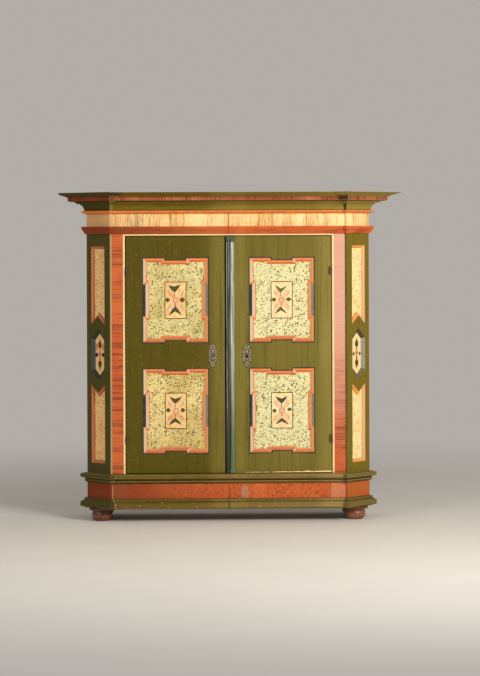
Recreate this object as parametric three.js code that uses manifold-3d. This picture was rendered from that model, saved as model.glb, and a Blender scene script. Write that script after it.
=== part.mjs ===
// A painted farmhouse wardrobe with cut corners, two doors and four bun feet. Lengths are in millimetres.
// X runs to the right, Y to the back and Z up. The origin lies on the floor, under the middle of the whole.
import * as THREE from "three";
import { mergeVertices } from "three/addons/utils/BufferGeometryUtils.js";
import Module from "manifold-3d";

const wasm = await Module();
wasm.setup();

// Clearances and cuts
const seatGap = 0.3; // between pieces that rest on or beside each other
const cutOverrun = 5; // how far a cut runs past the faces that it opens
const weldDistance = 1e-4; // corners closer than this are one
const arcSteps = 6;

// Case
const bodyHalfWidth = 802;
const bodyDepth = 430; // from the front stiles to the back
const cornerWidth = 136; // how far each cut corner runs out, and as far back
const pilasterStep = 9; // how far the diagonal pilasters stand forward of the stiles
const footHeight = 74;
const plinthHeight = 141;
const waistHeight = 57;
const bodyHeight = 1349;
const friezeHeight = 114;
const crownHeight = 119;
const boardThickness = 20;
const backThickness = 14;
const pilasterThickness = 28;
const stileThickness = 26;
const stileInset = 219; // from the side face in to the door opening
const ledgeWidth = 10; // rebate that carries the floor board and the dust board
const deckThickness = 22;
const shelfThickness = 20;
const shelfDrop = 211; // from the top of the body down to the hat shelf
const shelfSetback = 12; // from the cut corners back to the shelf's front edge
const housingDepth = 6; // how deep the shelf's ends sit in the sides

// Mouldings: how far each stands out, and how high it is
const baseProjection = 40;
const baseMouldingHeight = 57;
const waistProjection = 40;
const architraveProjection = 30;
const architraveHeight = 43;
const orangeBeadProjection = 30;
const orangeBeadHeight = 17;
const neckProjection = 12;
const coveProjection = 64;
const coveHeight = 45;
const coveFillet = 11;
const redBandProjection = 105;
const redBandHeight = 21;
const crownProjection = 186;
const crownLip = 2;
const crownRimWidth = 96;
const crownTrayDepth = 39; // how deep the top lies sunk behind the crown's rim
const beadWidth = 11;
const beadProud = 3;
const headBeadHeight = 9;

// Feet
const bunRadius = 59;
const bunFlatRadius = 34;
const bunNeckRadius = 54;
const bunHeight = 47; // up to the neck
const bunGroove = 1.6;
const collarRadius = 74;
const collarHeight = 13;
const footInset = 47; // from the cut corner's face in to the foot's middle
const footEdgeInset = 84; // from the side face and the back to the foot's middle
const footBlockHeight = 38;
const footBlockHalf = 52;
const footSides = 24;
const footArcSteps = 4;

// Doors
const doorThickness = 26;
const doorGap = 5; // beside and over each door
const doorLift = 4; // under each door
const leftDoorEdge = -22;
const rightDoorEdge = -14;
const hingeStileWidth = 98;
const leftLockStile = 95;
const rightLockStile = 134;
const topRailHeight = 123;
const middleRailHeight = 151;
const bottomRailHeight = 113;
const bevelWidth = 21;
const bevelDepth = 7;
const bevelLip = 2;
const panelThickness = 12;
const earDepth = 13;
const earWidthShare = 0.343; // half the notch between the ears, as a share of half the panel
const earHeightShare = 0.377;
const astragalStart = 1; // from the right door's edge to the astragal
const astragalWidth = 45;
const astragalProud = 13;
const astragalStop = 20; // plain block at each end of the astragal

// Pilaster panels
const sunkWidth = 110;
const sunkInset = 46; // from the pilaster's front edge to its panels
const sunkDepth = 15;
const sunkTopMargin = 68;
const sunkBottomMargin = 57;
const tailReach = 170; // from the pilaster's middle to the tips of the swallow tails
const tailNotch = 47;
const lozengeReach = 146;
const lozengeBevel = 20;

// Hinges
const hingeRadius = 6;
const hingePinRadius = 2.5;
const hingeRunningGap = 0.06; // between the pin and the flats of its bore
const hingeLength = 42;
const hingeProud = 7; // from the door's face out to the hinge's axis
const hingeInset = 9.5; // from the opening's side in to the hinge's axis
const hingeLeafThickness = 2;
const hingeLeafDepth = 20;
const hingeTopMargin = 209; // from the body's top to the middle of the upper hinges
const hingeBottomMargin = 196;
const hingePinShare = 0.42; // the pin's height above the lower half, as a share of the hinge
const hingeSides = 16;

// Lock, escutcheons and bolts
const escutcheonWidth = 50;
const escutcheonHeight = 132;
const plateThickness = 2;
const scallopCount = 10;
const scallopShare = 0.05;
const piercingSteps = 12;
const escutcheonSteps = 40;
const leftEscutcheonInset = 68; // from the left door's free edge
const keyInset = 116; // from the right door's free edge to the key
const keyDrop = 7; // from the middle of the escutcheon down to the key
const keyholeWidth = 5;
const keyholeHeight = 19;
const lockCaseLength = 134;
const lockCaseHeight = 96;
const lockCaseThickness = 17;
const lockBoltLength = 84;
const lockBoltHeight = 16;
const lockBoltThickness = 6;
const slideGap = 0.5; // round each sliding bolt
const boltInset = 38; // from the left door's free edge to its bolts
const boltWidth = 14;
const boltThickness = 4;
const boltLength = 150;
const boltSetback = 14; // from the door's ends back to the bolts' tips
const boltPlateWidth = 34;
const boltPlateHeight = 112;
const boltPlateOffset = 24; // from the bolt's tip to its plate
const stapleHeight = 12;
const stapleWall = 3;
const knobRadius = 6;
const knobLength = 12;
const headStopDrop = 14; // how far the head rail reaches down behind the doors
const headStopThickness = 12;
const headRailRise = 38;
const doorStopGap = 0.5;

// Colours
const paint = {
  green: { color: 0x6f6a2c, roughness: 0.6 },
  darkGreen: { color: 0x5b552a, roughness: 0.6 },
  red: { color: 0xb4562f, roughness: 0.6 },
  cream: { color: 0xe2c58c, roughness: 0.65 },
  footBrown: { color: 0x4b2a1d, roughness: 0.55 },
  greyGreen: { color: 0x8e9080, roughness: 0.6 },
  rawPine: { color: 0x9a7a52, roughness: 0.8 },
  iron: { color: 0x3b3732, roughness: 0.5, metalness: 0.8 },
  tinned: { color: 0x8d8370, roughness: 0.5, metalness: 0.7 },
};

// Heights
const plinthTop = footHeight + plinthHeight;
const bodyBase = plinthTop + waistHeight;
const bodyTop = bodyBase + bodyHeight;
const friezeTop = bodyTop + friezeHeight;
const wholeHeight = friezeTop + crownHeight;

// Plan: the front of the crown's corners and the back are equally far from the origin
const mitre = Math.tan(Math.PI / 8);
const crownReach = pilasterStep + Math.SQRT2 * crownProjection;
const frontY = (crownReach - bodyDepth) / 2;
const backY = frontY + bodyDepth;
const noseX = bodyHalfWidth - cornerWidth;
const noseY = frontY - pilasterStep;
const nookX = noseX - pilasterStep;
const bendY = noseY + cornerWidth;
const turnX = noseX + pilasterStep; // where the stile plane would meet the cut corner's face
const openingHalf = bodyHalfWidth - stileInset;
const innerBackY = backY - backThickness - seatGap;

// Doors and what is set out on them
const doorBottom = bodyBase + doorLift;
const doorTop = bodyTop - headBeadHeight - doorGap;
const panelHeight =
  (doorTop - doorBottom - topRailHeight - middleRailHeight - bottomRailHeight) / 2;
const lowerPanelZ = doorBottom + bottomRailHeight + panelHeight / 2;
const upperPanelZ = doorTop - topRailHeight - panelHeight / 2;
const middleRailZ = (lowerPanelZ + upperPanelZ) / 2;
const hingeX = openingHalf - hingeInset;
const hingeHeights = [bodyBase + hingeBottomMargin, bodyTop - hingeTopMargin];

const wardrobe = new THREE.Group();
const leftDoor = new THREE.Group();
const rightDoor = new THREE.Group();
leftDoor.position.y = frontY;
rightDoor.position.y = frontY;
wardrobe.add(leftDoor, rightDoor);

// Geometry helpers

// Points along a quarter ellipse between two points; it leaves the first one upright or level.
function quarterArc(from, to, upright, steps = arcSteps) {
  const points = [];
  for (let i = 0; i <= steps; i++) {
    const t = ((i / steps) * Math.PI) / 2;
    const along = upright ? 1 - Math.cos(t) : Math.sin(t);
    const rise = upright ? Math.sin(t) : 1 - Math.cos(t);
    points.push([from[0] + (to[0] - from[0]) * along, from[1] + (to[1] - from[1]) * rise]);
  }
  return points;
}

function signedArea(points) {
  return THREE.ShapeUtils.area(points.map(([u, v]) => new THREE.Vector2(u, v)));
}

// A closed solid skinned over rings of points that match one to one, with its two ends filled.
function skinned(rings, outline) {
  const flat = outline.map(([u, v]) => new THREE.Vector2(u, v));
  const caps = THREE.ShapeUtils.triangulateShape(flat, []).map((corners) =>
    signedArea(corners.map((i) => outline[i])) * signedArea(outline) > 0
      ? corners
      : [...corners].reverse(),
  );
  const count = outline.length;
  const last = (rings.length - 1) * count;
  const triangles = [];
  for (const [a, b, c] of caps) {
    triangles.push([a, c, b], [last + a, last + b, last + c]);
  }
  for (let ring = 0; ring < last; ring += count) {
    for (let i = 0; i < count; i++) {
      const j = (i + 1) % count;
      triangles.push([ring + i, ring + j, ring + count + j]);
      triangles.push([ring + i, ring + count + j, ring + count + i]);
    }
  }
  return facingOut(rings.flat(), triangles);
}

// A geometry from points and triangles, turned round when its faces point inwards.
function facingOut(points, triangles) {
  const vectors = points.map((p) => new THREE.Vector3(...p));
  const volume = triangles.reduce(
    (sum, [a, b, c]) => sum + vectors[a].dot(vectors[b].clone().cross(vectors[c])),
    0,
  );
  const index = triangles.flatMap(([a, b, c]) => (volume > 0 ? [a, b, c] : [a, c, b]));
  const geometry = new THREE.BufferGeometry().setFromPoints(vectors);
  geometry.setIndex(index);
  return geometry;
}

// A flat outline in X and Y, carried up from one height to another.
function upright(outline, low, high) {
  const ring = (z) => outline.map(([x, y]) => [x, y, z]);
  return skinned([ring(low), ring(high)], outline);
}

function block(x, y, z) {
  const box = new THREE.BoxGeometry(x[1] - x[0], y[1] - y[0], z[1] - z[0]);
  return box.translate((x[0] + x[1]) / 2, (y[0] + y[1]) / 2, (z[0] + z[1]) / 2);
}

function toSolid(geometry) {
  const bare = new THREE.BufferGeometry();
  bare.setAttribute("position", geometry.getAttribute("position"));
  bare.setIndex(geometry.index);
  const merged = mergeVertices(bare, weldDistance);
  return new wasm.Manifold(
    new wasm.Mesh({
      numProp: 3,
      vertProperties: new Float32Array(merged.attributes.position.array),
      triVerts: new Uint32Array(merged.index.array),
    }),
  );
}

function toGeometry(solid) {
  const mesh = solid.getMesh();
  const geometry = new THREE.BufferGeometry();
  geometry.setAttribute("position", new THREE.BufferAttribute(mesh.vertProperties, 3));
  geometry.setIndex(new THREE.BufferAttribute(mesh.triVerts, 1));
  return geometry;
}

function cut(geometry, ...tools) {
  return toGeometry(tools.reduce((solid, tool) => solid.subtract(toSolid(tool)), toSolid(geometry)));
}

function joined(first, ...others) {
  return toGeometry(others.reduce((solid, other) => solid.add(toSolid(other)), toSolid(first)));
}

// The same piece for the other side of the wardrobe.
function mirrored(geometry) {
  const other = geometry.clone().scale(-1, 1, 1);
  const index = Array.from(other.index.array);
  for (let i = 0; i < index.length; i += 3) {
    [index[i + 1], index[i + 2]] = [index[i + 2], index[i + 1]];
  }
  other.setIndex(index);
  return other;
}

function addPiece(group, name, finish, geometry) {
  const bare = geometry.clone();
  bare.deleteAttribute("uv");
  const mesh = new THREE.Mesh(bare, new THREE.MeshStandardMaterial(finish));
  bare.computeVertexNormals();
  mesh.name = name;
  group.add(mesh);
  return mesh;
}

// A piece on the right and its mirror image on the left.
function addPair(ending, finish, geometry) {
  addPiece(wardrobe, "right_" + ending, finish, geometry);
  addPiece(wardrobe, "left_" + ending, finish, mirrored(geometry));
}

// Stations of the plan line on the right-hand side. A point at p is `p` outside the plan line; a negative p
// lies inside the boards, which turn the corner without the pilaster's step.
const stations = {
  middle: { at: [0, frontY], out: [0, -1] },
  nook: { at: [nookX, frontY], out: [-mitre, -1], behind: [nookX, frontY], into: [0, -1] },
  nose: { at: [noseX, noseY], out: [0, -Math.SQRT2], behind: [turnX, frontY], into: [mitre, -1] },
  bend: { at: [bodyHalfWidth, bendY], out: [1, -mitre] },
  end: { at: [bodyHalfWidth, backY], out: [1, 0] },
};

function stationPoint(station, [p, z], shift) {
  const from = p < 0 && station.behind ? station.behind : station.at;
  const along = p < 0 && station.into ? station.into : station.out;
  return [from[0] + p * along[0] + shift[0], from[1] + p * along[1] + shift[1], z];
}

// A moulded board along the plan line, from one station to another.
function run(profile, stops) {
  const rings = stops.map(({ name, shift = [0, 0] }) =>
    profile.map((point) => stationPoint(stations[name], point, shift)),
  );
  return skinned(rings, profile);
}

const mitreShift = seatGap / 2;
const diagonalShift = mitreShift / Math.SQRT2;

function frontHalfRun(profile) {
  return run(profile, [
    { name: "middle", shift: [mitreShift, 0] },
    { name: "nook", shift: [-mitreShift, 0] },
  ]);
}

function frontWholeRun(profile) {
  const right = profile.map((point) => stationPoint(stations.nook, point, [-mitreShift, 0]));
  const left = right.map(([x, y, z]) => [-x, y, z]);
  return skinned([left, right], profile);
}

function cornerRun(profile) {
  return run(profile, [
    { name: "nook", shift: [mitreShift, 0] },
    { name: "nose" },
    { name: "bend", shift: [-diagonalShift, -diagonalShift] },
  ]);
}

function sideRun(profile) {
  return run(profile, [{ name: "bend", shift: [0, mitreShift] }, { name: "end" }]);
}

// The plain board inside a moulded profile. The waist and the base have no moulding on the sides: it stops
// at the cut corners.
function plainProfile(profile) {
  const isInside = (i) => profile[(i + profile.length) % profile.length][0] < 0;
  return profile
    .map(([out, z]) => [Math.min(out, 0), z])
    .filter((_, i) => isInside(i) || isInside(i - 1) || isInside(i + 1));
}

// Profiles of the four moulded rings: points are [distance out, height]

// Red band with the base moulding under it.
function plinthProfile() {
  const low = footHeight + seatGap;
  const outShares = [0.38, 0.48, 1, 1, 0.72, 0.43, 0.43];
  const riseShares = [0, 0.06, 0.17, 0.57, 0.7, 0.79, 0.98];
  const moulding = outShares.map((share, i) => [
    share * baseProjection,
    low + riseShares[i] * baseMouldingHeight,
  ]);
  return [
    [-boardThickness, low],
    ...moulding,
    [0, low + baseMouldingHeight],
    [0, plinthTop],
    [-boardThickness, plinthTop],
  ];
}

function waistProfile() {
  const low = plinthTop + seatGap;
  const outShares = [0, 0.2, 0.48, 0.34, 0.34];
  const riseShares = [0, 0.08, 0.23, 0.27, 0.47];
  const lower = outShares.map((share, i) => [
    share * waistProjection,
    low + riseShares[i] * waistHeight,
  ]);
  const lipLowShare = 0.68;
  const lipHighShare = 0.92;
  const throat = lower[lower.length - 1];
  const lip = [waistProjection, low + lipLowShare * waistHeight];
  return [
    [-boardThickness, low],
    ...lower.slice(0, -1),
    ...quarterArc(throat, lip, false),
    [waistProjection, low + lipHighShare * waistHeight],
    [outShares[3] * waistProjection, bodyBase],
    ...ledgePoints(bodyBase),
  ];
}

// The inner edge of a ring with a rebate along its top for a board.
function ledgePoints(top) {
  const inner = ledgeWidth - boardThickness;
  return [
    [inner, top],
    [inner, top - deckThickness - seatGap],
    [-boardThickness, top - deckThickness - seatGap],
  ];
}

function friezeProfile() {
  const low = bodyTop + seatGap;
  const toeShare = 0.3;
  const lipRiseShare = 0.76;
  return [
    [-boardThickness, low],
    [0, low],
    [toeShare * architraveProjection, low + seatGap],
    [architraveProjection, low + lipRiseShare * architraveHeight],
    [architraveProjection, low + architraveHeight],
    [0, low + architraveHeight],
    [0, friezeTop],
    ...ledgePoints(friezeTop),
  ];
}

function crownProfile() {
  const low = friezeTop + seatGap;
  const beadTop = low + orangeBeadHeight;
  const coveTop = beadTop + coveHeight;
  const bandLow = coveTop + coveFillet;
  const bandHigh = bandLow + redBandHeight;
  const lipLow = wholeHeight - crownLip;
  const shoulder = [redBandProjection + neckProjection / 2, bandHigh];
  const swellShares = [
    [0.15, 0.24],
    [0.4, 0.5],
    [0.68, 0.78],
  ];
  const swell = swellShares.map(([out, rise]) => [
    shoulder[0] + out * (crownProjection - shoulder[0]),
    shoulder[1] + rise * (lipLow - shoulder[1]),
  ]);
  const rimInner = crownProjection - crownRimWidth;
  return [
    [-boardThickness, low],
    ...quarterArc([0, low], [orangeBeadProjection, beadTop - crownLip], false),
    [orangeBeadProjection, beadTop],
    ...quarterArc([neckProjection, beadTop], [coveProjection, coveTop], true),
    [coveProjection, bandLow],
    [redBandProjection, bandLow],
    [redBandProjection, bandHigh],
    shoulder,
    ...swell,
    [crownProjection, lipLow],
    [crownProjection, wholeHeight],
    [rimInner, wholeHeight],
    [rimInner, wholeHeight - crownTrayDepth],
    [-boardThickness, wholeHeight - crownTrayDepth],
  ];
}

// Feet

function footPlace() {
  const x = bodyHalfWidth - footEdgeInset;
  return { x, frontFootY: noseY + (x - noseX) + Math.SQRT2 * footInset, rearFootY: backY - footEdgeInset };
}

// The radius of the bun's lower side at a height below its widest part.
function bunRadiusAt(z, widest) {
  const drop = 1 - z / widest[1];
  return bunFlatRadius + (widest[0] - bunFlatRadius) * Math.sqrt(1 - drop * drop);
}

// A bun foot, turned about its own axis: a bun with two scribed lines, a neck that flares out, and a collar.
function footGeometry() {
  const widestShare = 0.75;
  const lowShare = 0.2;
  const grooveShares = [0.5, 0.68];
  const grooveHalfShare = 0.04;
  const widest = [bunRadius, widestShare * bunHeight];
  const neck = [bunNeckRadius, bunHeight];
  const grooves = grooveShares.flatMap((share) =>
    [-1, 0, 1].map((step) => {
      const z = (share + step * grooveHalfShare) * bunHeight;
      return [bunRadiusAt(z, widest) - (step ? 0 : bunGroove), z];
    }),
  );
  const profile = [
    [0, 0],
    [bunFlatRadius, 0],
    [bunRadiusAt(lowShare * bunHeight, widest), lowShare * bunHeight],
    ...grooves,
    ...quarterArc(widest, neck, true, footArcSteps),
    ...quarterArc(neck, [collarRadius, footHeight - collarHeight], true, footArcSteps).slice(1),
    [collarRadius, footHeight],
    [0, footHeight],
  ];
  const points = profile.map(([radius, z]) => new THREE.Vector2(radius, z));
  const lathe = new THREE.LatheGeometry(points, footSides);
  return toGeometry(toSolid(lathe.rotateX(Math.PI / 2)));
}

function addFeet() {
  const { x, frontFootY, rearFootY } = footPlace();
  const geometry = footGeometry();
  for (const [side, sign] of [["left", -1], ["right", 1]]) {
    for (const [end, y] of [["front", frontFootY], ["rear", rearFootY]]) {
      addPiece(wardrobe, end + "_" + side + "_foot", paint.footBrown, geometry).position.set(sign * x, y, 0);
    }
  }
}

// Glue blocks inside the plinth that the feet are set under.
function cornerFootBlock() {
  const { x, frontFootY } = footPlace();
  const lap = boardThickness - seatGap * 3;
  const low = footHeight + seatGap;
  const inner = x - footBlockHalf;
  const outer = bodyHalfWidth - boardThickness - cutOverrun;
  const faceY = (px) => frontY + lap + (px - (turnX - mitre * lap));
  return upright(
    [
      [inner, frontY + lap],
      [Math.max(inner, turnX - mitre * lap), faceY(Math.max(inner, turnX - mitre * lap))],
      [outer, faceY(outer)],
      [outer, frontFootY + footBlockHalf],
      [inner, frontFootY + footBlockHalf],
    ],
    low,
    low + footBlockHeight,
  );
}

function rearFootBlock() {
  const { x, rearFootY } = footPlace();
  const low = footHeight + seatGap;
  return block(
    [x - footBlockHalf, bodyHalfWidth - boardThickness + seatGap],
    [rearFootY - footBlockHalf, innerBackY - seatGap],
    [low, low + footBlockHeight],
  );
}

function addRings() {
  const plinth = plinthProfile();
  const waist = waistProfile();
  const frieze = friezeProfile();
  const crown = crownProfile();
  const plinthHalf = frontHalfRun(plinth);
  const friezeHalf = frontHalfRun(frieze);
  addPiece(wardrobe, "plinth_front_right", paint.red, plinthHalf);
  addPiece(wardrobe, "plinth_front_left", paint.red, mirrored(plinthHalf));
  addPair("plinth_corner", paint.red, joined(cornerRun(plinth), cornerFootBlock()));
  addPair("plinth_side", paint.red, joined(sideRun(plainProfile(plinth)), rearFootBlock()));
  addPiece(wardrobe, "waist_front", paint.green, frontWholeRun(waist));
  addPair("waist_corner", paint.darkGreen, cornerRun(waist));
  addPair("waist_side", paint.darkGreen, sideRun(plainProfile(waist)));
  addPiece(wardrobe, "frieze_front_right", paint.cream, friezeHalf);
  addPiece(wardrobe, "frieze_front_left", paint.cream, mirrored(friezeHalf));
  addPair("frieze_corner", paint.cream, cornerRun(frieze));
  addPair("frieze_side", paint.cream, sideRun(frieze));
  addPiece(wardrobe, "crown_front", paint.green, frontWholeRun(crown));
  addPair("crown_corner", paint.darkGreen, cornerRun(crown));
  addPair("crown_side", paint.darkGreen, sideRun(crown));
}

// Boards that lie in the rebates of the waist and the frieze.
function deckGeometry(top) {
  const inset = boardThickness - ledgeWidth + seatGap;
  const right = [
    [turnX - mitre * inset, frontY + inset],
    [bodyHalfWidth - inset, bendY + mitre * inset],
    [bodyHalfWidth - inset, innerBackY],
  ];
  const left = [...right].reverse().map(([x, y]) => [-x, y]);
  return upright([...right, ...left], top - deckThickness, top);
}

function addDecks() {
  const { x, y } = leftBoltPlace();
  const halfWidth = boltWidth / 2 + slideGap;
  const socket = block(
    [x - halfWidth, x + halfWidth],
    [frontY + y[0] - slideGap, frontY + y[1] + slideGap],
    [bodyBase - deckThickness - cutOverrun, bodyBase + cutOverrun],
  );
  addPiece(wardrobe, "floor_board", paint.rawPine, cut(deckGeometry(bodyBase), socket));
  addPiece(wardrobe, "dust_board", paint.rawPine, deckGeometry(friezeTop));
}

// Carcase boards

// A pilaster in its own frame: X runs along its face from the front edge, Y goes in, Z is up.
function pilasterGeometry() {
  const length = Math.SQRT2 * cornerWidth;
  const low = bodyBase + seatGap;
  const plan = [
    [0, 0],
    [length - mitreShift, 0],
    [length - mitreShift - mitre * pilasterThickness, pilasterThickness],
    [0, pilasterThickness],
  ];
  return cut(upright(plan, low, bodyTop), ...pilasterSinkings(low));
}

// The tools that sink the two swallow-tailed panels and the lozenge between them.
function pilasterSinkings(low) {
  const middleX = sunkInset + sunkWidth / 2;
  const top = bodyTop - sunkTopMargin;
  const bottom = low + sunkBottomMargin;
  const middleZ = (top + bottom) / 2;
  const tailBevel = sunkDepth;
  const slope = tailNotch / (sunkWidth / 2);
  const tailOutline = (inset, sign) => {
    const half = sunkWidth / 2 - inset;
    const end = (sign > 0 ? top : bottom) - sign * inset;
    const lift = inset * Math.sqrt(1 + slope * slope);
    const tip = middleZ + sign * (tailReach + lift + slope * inset);
    const points = [
      [middleX - half, end],
      [middleX - half, tip],
      [middleX, tip + sign * slope * half],
      [middleX + half, tip],
      [middleX + half, end],
    ];
    return sign > 0 ? points : [...points].reverse();
  };
  const lozengeOutline = (inset) => {
    const half = sunkWidth / 2 - inset;
    const reach = lozengeReach - inset * Math.SQRT2;
    const shoulder = reach - half;
    return [
      [middleX + half, middleZ + shoulder],
      [middleX, middleZ + reach],
      [middleX - half, middleZ + shoulder],
      [middleX - half, middleZ - shoulder],
      [middleX, middleZ - reach],
      [middleX + half, middleZ - shoulder],
    ];
  };
  return [
    sinking((inset) => tailOutline(inset, 1), tailBevel),
    sinking((inset) => tailOutline(inset, -1), tailBevel),
    sinking(lozengeOutline, lozengeBevel),
  ];
}

// A tool with splayed walls: its outline shrinks by the bevel on the way down to the sunk field.
function sinking(outlineAt, bevel) {
  const spread = (cutOverrun / sunkDepth) * bevel;
  const ring = (outline, y) => outline.map(([x, z]) => [x, y, z]);
  return skinned(
    [ring(outlineAt(-spread), -cutOverrun), ring(outlineAt(bevel), sunkDepth)],
    outlineAt(0),
  );
}

function addPilasters() {
  const geometry = pilasterGeometry();
  const right = addPiece(wardrobe, "right_pilaster", paint.green, geometry);
  const left = addPiece(wardrobe, "left_pilaster", paint.darkGreen, mirrored(geometry));
  right.position.set(noseX, noseY, 0);
  right.rotation.z = Math.PI / 4;
  left.position.set(-noseX, noseY, 0);
  left.rotation.z = -Math.PI / 4;
}

// The right front stile: its bead edges the opening, and a notch in its back takes the pilaster.
function stileGeometry() {
  const sideStep = seatGap * Math.SQRT2;
  const heelX = noseX - pilasterThickness / Math.SQRT2 - sideStep;
  const heelY = noseY + pilasterThickness / Math.SQRT2;
  const backFaceY = frontY + stileThickness;
  const bead = halfRound(openingHalf + beadWidth / 2, frontY, beadWidth / 2, beadProud);
  const plan = [
    [openingHalf, backFaceY],
    ...bead,
    [nookX - sideStep, frontY],
    [heelX, heelY],
    [heelX + (backFaceY - heelY), backFaceY],
  ];
  const stile = upright(plan, bodyBase + seatGap, bodyTop);
  return cut(stile, ...hingeHeights.map(stileHingeCut));
}

// Points of a half-round bead that stands forward of a face, from left to right.
function halfRound(x, y, radius, proud) {
  const points = [];
  for (let i = 0; i <= arcSteps; i++) {
    const angle = Math.PI * (1 - i / arcSteps);
    points.push([x + radius * Math.cos(angle), y - proud * Math.sin(angle)]);
  }
  return points;
}

// A recess in the stile's edge and its bead for the lower half's leaf.
function stileHingeCut(z) {
  return block(
    [openingHalf - cutOverrun, openingHalf + hingeLeafThickness + seatGap],
    [frontY - beadProud - cutOverrun, frontY + hingeLeafDepth + seatGap],
    [z - hingeLength / 2 - seatGap, z + seatGap],
  );
}

function addCarcase() {
  addPair("stile", paint.red, stileGeometry());
  addPair("side_board", paint.darkGreen, sideBoardGeometry());
  addPiece(wardrobe, "head_rail", paint.cream, headRailGeometry());
  addPiece(
    wardrobe,
    "back",
    paint.rawPine,
    block(
      [seatGap + boardThickness - bodyHalfWidth, bodyHalfWidth - boardThickness - seatGap],
      [backY - backThickness, backY],
      [footHeight + seatGap, friezeTop],
    ),
  );
  const shelfHalf = bodyHalfWidth - boardThickness + housingDepth - seatGap;
  const shelfTop = bodyTop - shelfDrop;
  addPiece(
    wardrobe,
    "hat_shelf",
    paint.rawPine,
    block([-shelfHalf, shelfHalf], [bendY + shelfSetback, innerBackY], [shelfTop - shelfThickness, shelfTop]),
  );
}

// A side board with its front edge mitred to the pilaster and a housing for the hat shelf.
function sideBoardGeometry() {
  const inner = bodyHalfWidth - boardThickness;
  const plan = [
    [bodyHalfWidth, bendY + mitreShift],
    [bodyHalfWidth, backY],
    [inner, backY],
    [inner, bendY + mitreShift + mitre * boardThickness],
  ];
  const shelfTop = bodyTop - shelfDrop;
  const housing = block(
    [inner - cutOverrun, inner + housingDepth],
    [bendY + shelfSetback - seatGap, innerBackY + seatGap],
    [shelfTop - shelfThickness - seatGap, shelfTop + seatGap],
  );
  return cut(upright(plan, bodyBase + seatGap, bodyTop), housing);
}

// The rail over the doors: a bead in front, a stop behind the doors and a slot for the upper bolt.
function headRailGeometry() {
  const low = bodyTop - headBeadHeight;
  const stopLow = doorTop - headStopDrop + doorGap;
  const stopY = doorThickness + doorStopGap;
  const beadFace = halfRound(low + headBeadHeight / 2, 0, headBeadHeight / 2, beadProud);
  const section = [
    ...beadFace.map(([z, y]) => [y, z]),
    [boardThickness + seatGap, bodyTop],
    [boardThickness + seatGap, bodyTop + headRailRise],
    [stopY + headStopThickness, bodyTop + headRailRise],
    [stopY + headStopThickness, stopLow],
    [stopY, stopLow],
    [stopY, low],
  ];
  const half = openingHalf - seatGap;
  const ring = (x) => section.map(([y, z]) => [x, frontY + y, z]);
  const rail = skinned([ring(-half), ring(half)], section);
  const { x, y } = leftBoltPlace();
  const halfWidth = boltWidth / 2 + slideGap;
  const slot = block(
    [x - halfWidth, x + halfWidth],
    [frontY + y[0] - slideGap, frontY + y[1] + slideGap],
    [stopLow - cutOverrun, bodyTop + headRailRise + cutOverrun],
  );
  return cut(rail, slot);
}

// Doors: Y is measured in from the door's front face

// The outline of an eared panel: a rectangle whose sides step in between its corners.
function earedOutline(panel, inset) {
  const { x, z, halfWidth, halfHeight } = panel;
  const right = halfWidth - inset;
  const top = halfHeight - inset;
  const earX = halfWidth * earWidthShare + inset;
  const earZ = halfHeight * earHeightShare + inset;
  const quarter = [
    [right - earDepth, earZ],
    [right, earZ],
    [right, top],
    [earX, top],
    [earX, top - earDepth],
  ];
  const flipX = quarter.map(([u, v]) => [-u, v]).reverse();
  const upper = [...quarter, ...flipX];
  const lower = upper.map(([u, v]) => [u, -v]).reverse();
  return [...upper, ...lower].map(([u, v]) => [x + u, z + v]);
}

function panelPlaces(lowX, highX) {
  const shape = { x: (lowX + highX) / 2, halfWidth: (highX - lowX) / 2, halfHeight: panelHeight / 2 };
  return { upper: { ...shape, z: upperPanelZ }, lower: { ...shape, z: lowerPanelZ } };
}

// The tools that open the frame for one panel: a splayed, eared opening and a rebate behind it.
function panelOpening(panel) {
  const ring = (inset, y) => earedOutline(panel, inset).map(([x, z]) => [x, y, z]);
  const spread = (cutOverrun / bevelDepth) * bevelWidth;
  const lipY = bevelDepth + bevelLip;
  const splay = skinned(
    [ring(-spread, -cutOverrun), ring(bevelWidth, bevelDepth), ring(bevelWidth, lipY + seatGap)],
    earedOutline(panel, 0),
  );
  const rebate = block(
    [panel.x - panel.halfWidth, panel.x + panel.halfWidth],
    [lipY, doorThickness + cutOverrun],
    [panel.z - panel.halfHeight, panel.z + panel.halfHeight],
  );
  return [splay, rebate];
}

function addDoor(door, group) {
  const { side, edges, panels } = door;
  const slab = block(edges, [0, doorThickness], [doorBottom, doorTop]);
  const tools = [
    ...panelOpening(panels.upper),
    ...panelOpening(panels.lower),
    ...hingeHeights.map((z) => doorHingeCut(door.sign, z)),
    ...(door.keyX === undefined ? [] : [keyhole(door.keyX, 0, doorThickness, middleRailZ)]),
  ];
  addPiece(group, side + "_door_frame", paint.green, cut(slab, ...tools));
  for (const [level, panel] of Object.entries(panels)) {
    const halfWidth = panel.halfWidth - seatGap;
    const halfHeight = panel.halfHeight - seatGap;
    const face = bevelDepth + bevelLip + seatGap;
    addPiece(
      group,
      side + "_" + level + "_panel",
      paint.cream,
      block(
        [panel.x - halfWidth, panel.x + halfWidth],
        [face, face + panelThickness],
        [panel.z - halfHeight, panel.z + halfHeight],
      ),
    );
  }
}

// A tool for the key's way, about the middle of the escutcheon or of the lock.
function keyhole(x, lowY, highY, z) {
  return block(
    [x - keyholeWidth / 2, x + keyholeWidth / 2],
    [lowY - cutOverrun, highY + cutOverrun],
    [z - keyDrop - keyholeHeight / 2, z - keyDrop + keyholeHeight / 2],
  );
}

// A recess in the door's hinge edge for the upper half's leaf.
function doorHingeCut(sign, z) {
  const edge = openingHalf - doorGap;
  const xs = [edge - hingeLeafThickness - seatGap, edge + cutOverrun].map((x) => sign * x);
  return block(
    xs.sort((a, b) => a - b),
    [-cutOverrun, hingeLeafDepth + seatGap],
    [z, z + hingeLength / 2 + seatGap],
  );
}

// Hinges

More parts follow.
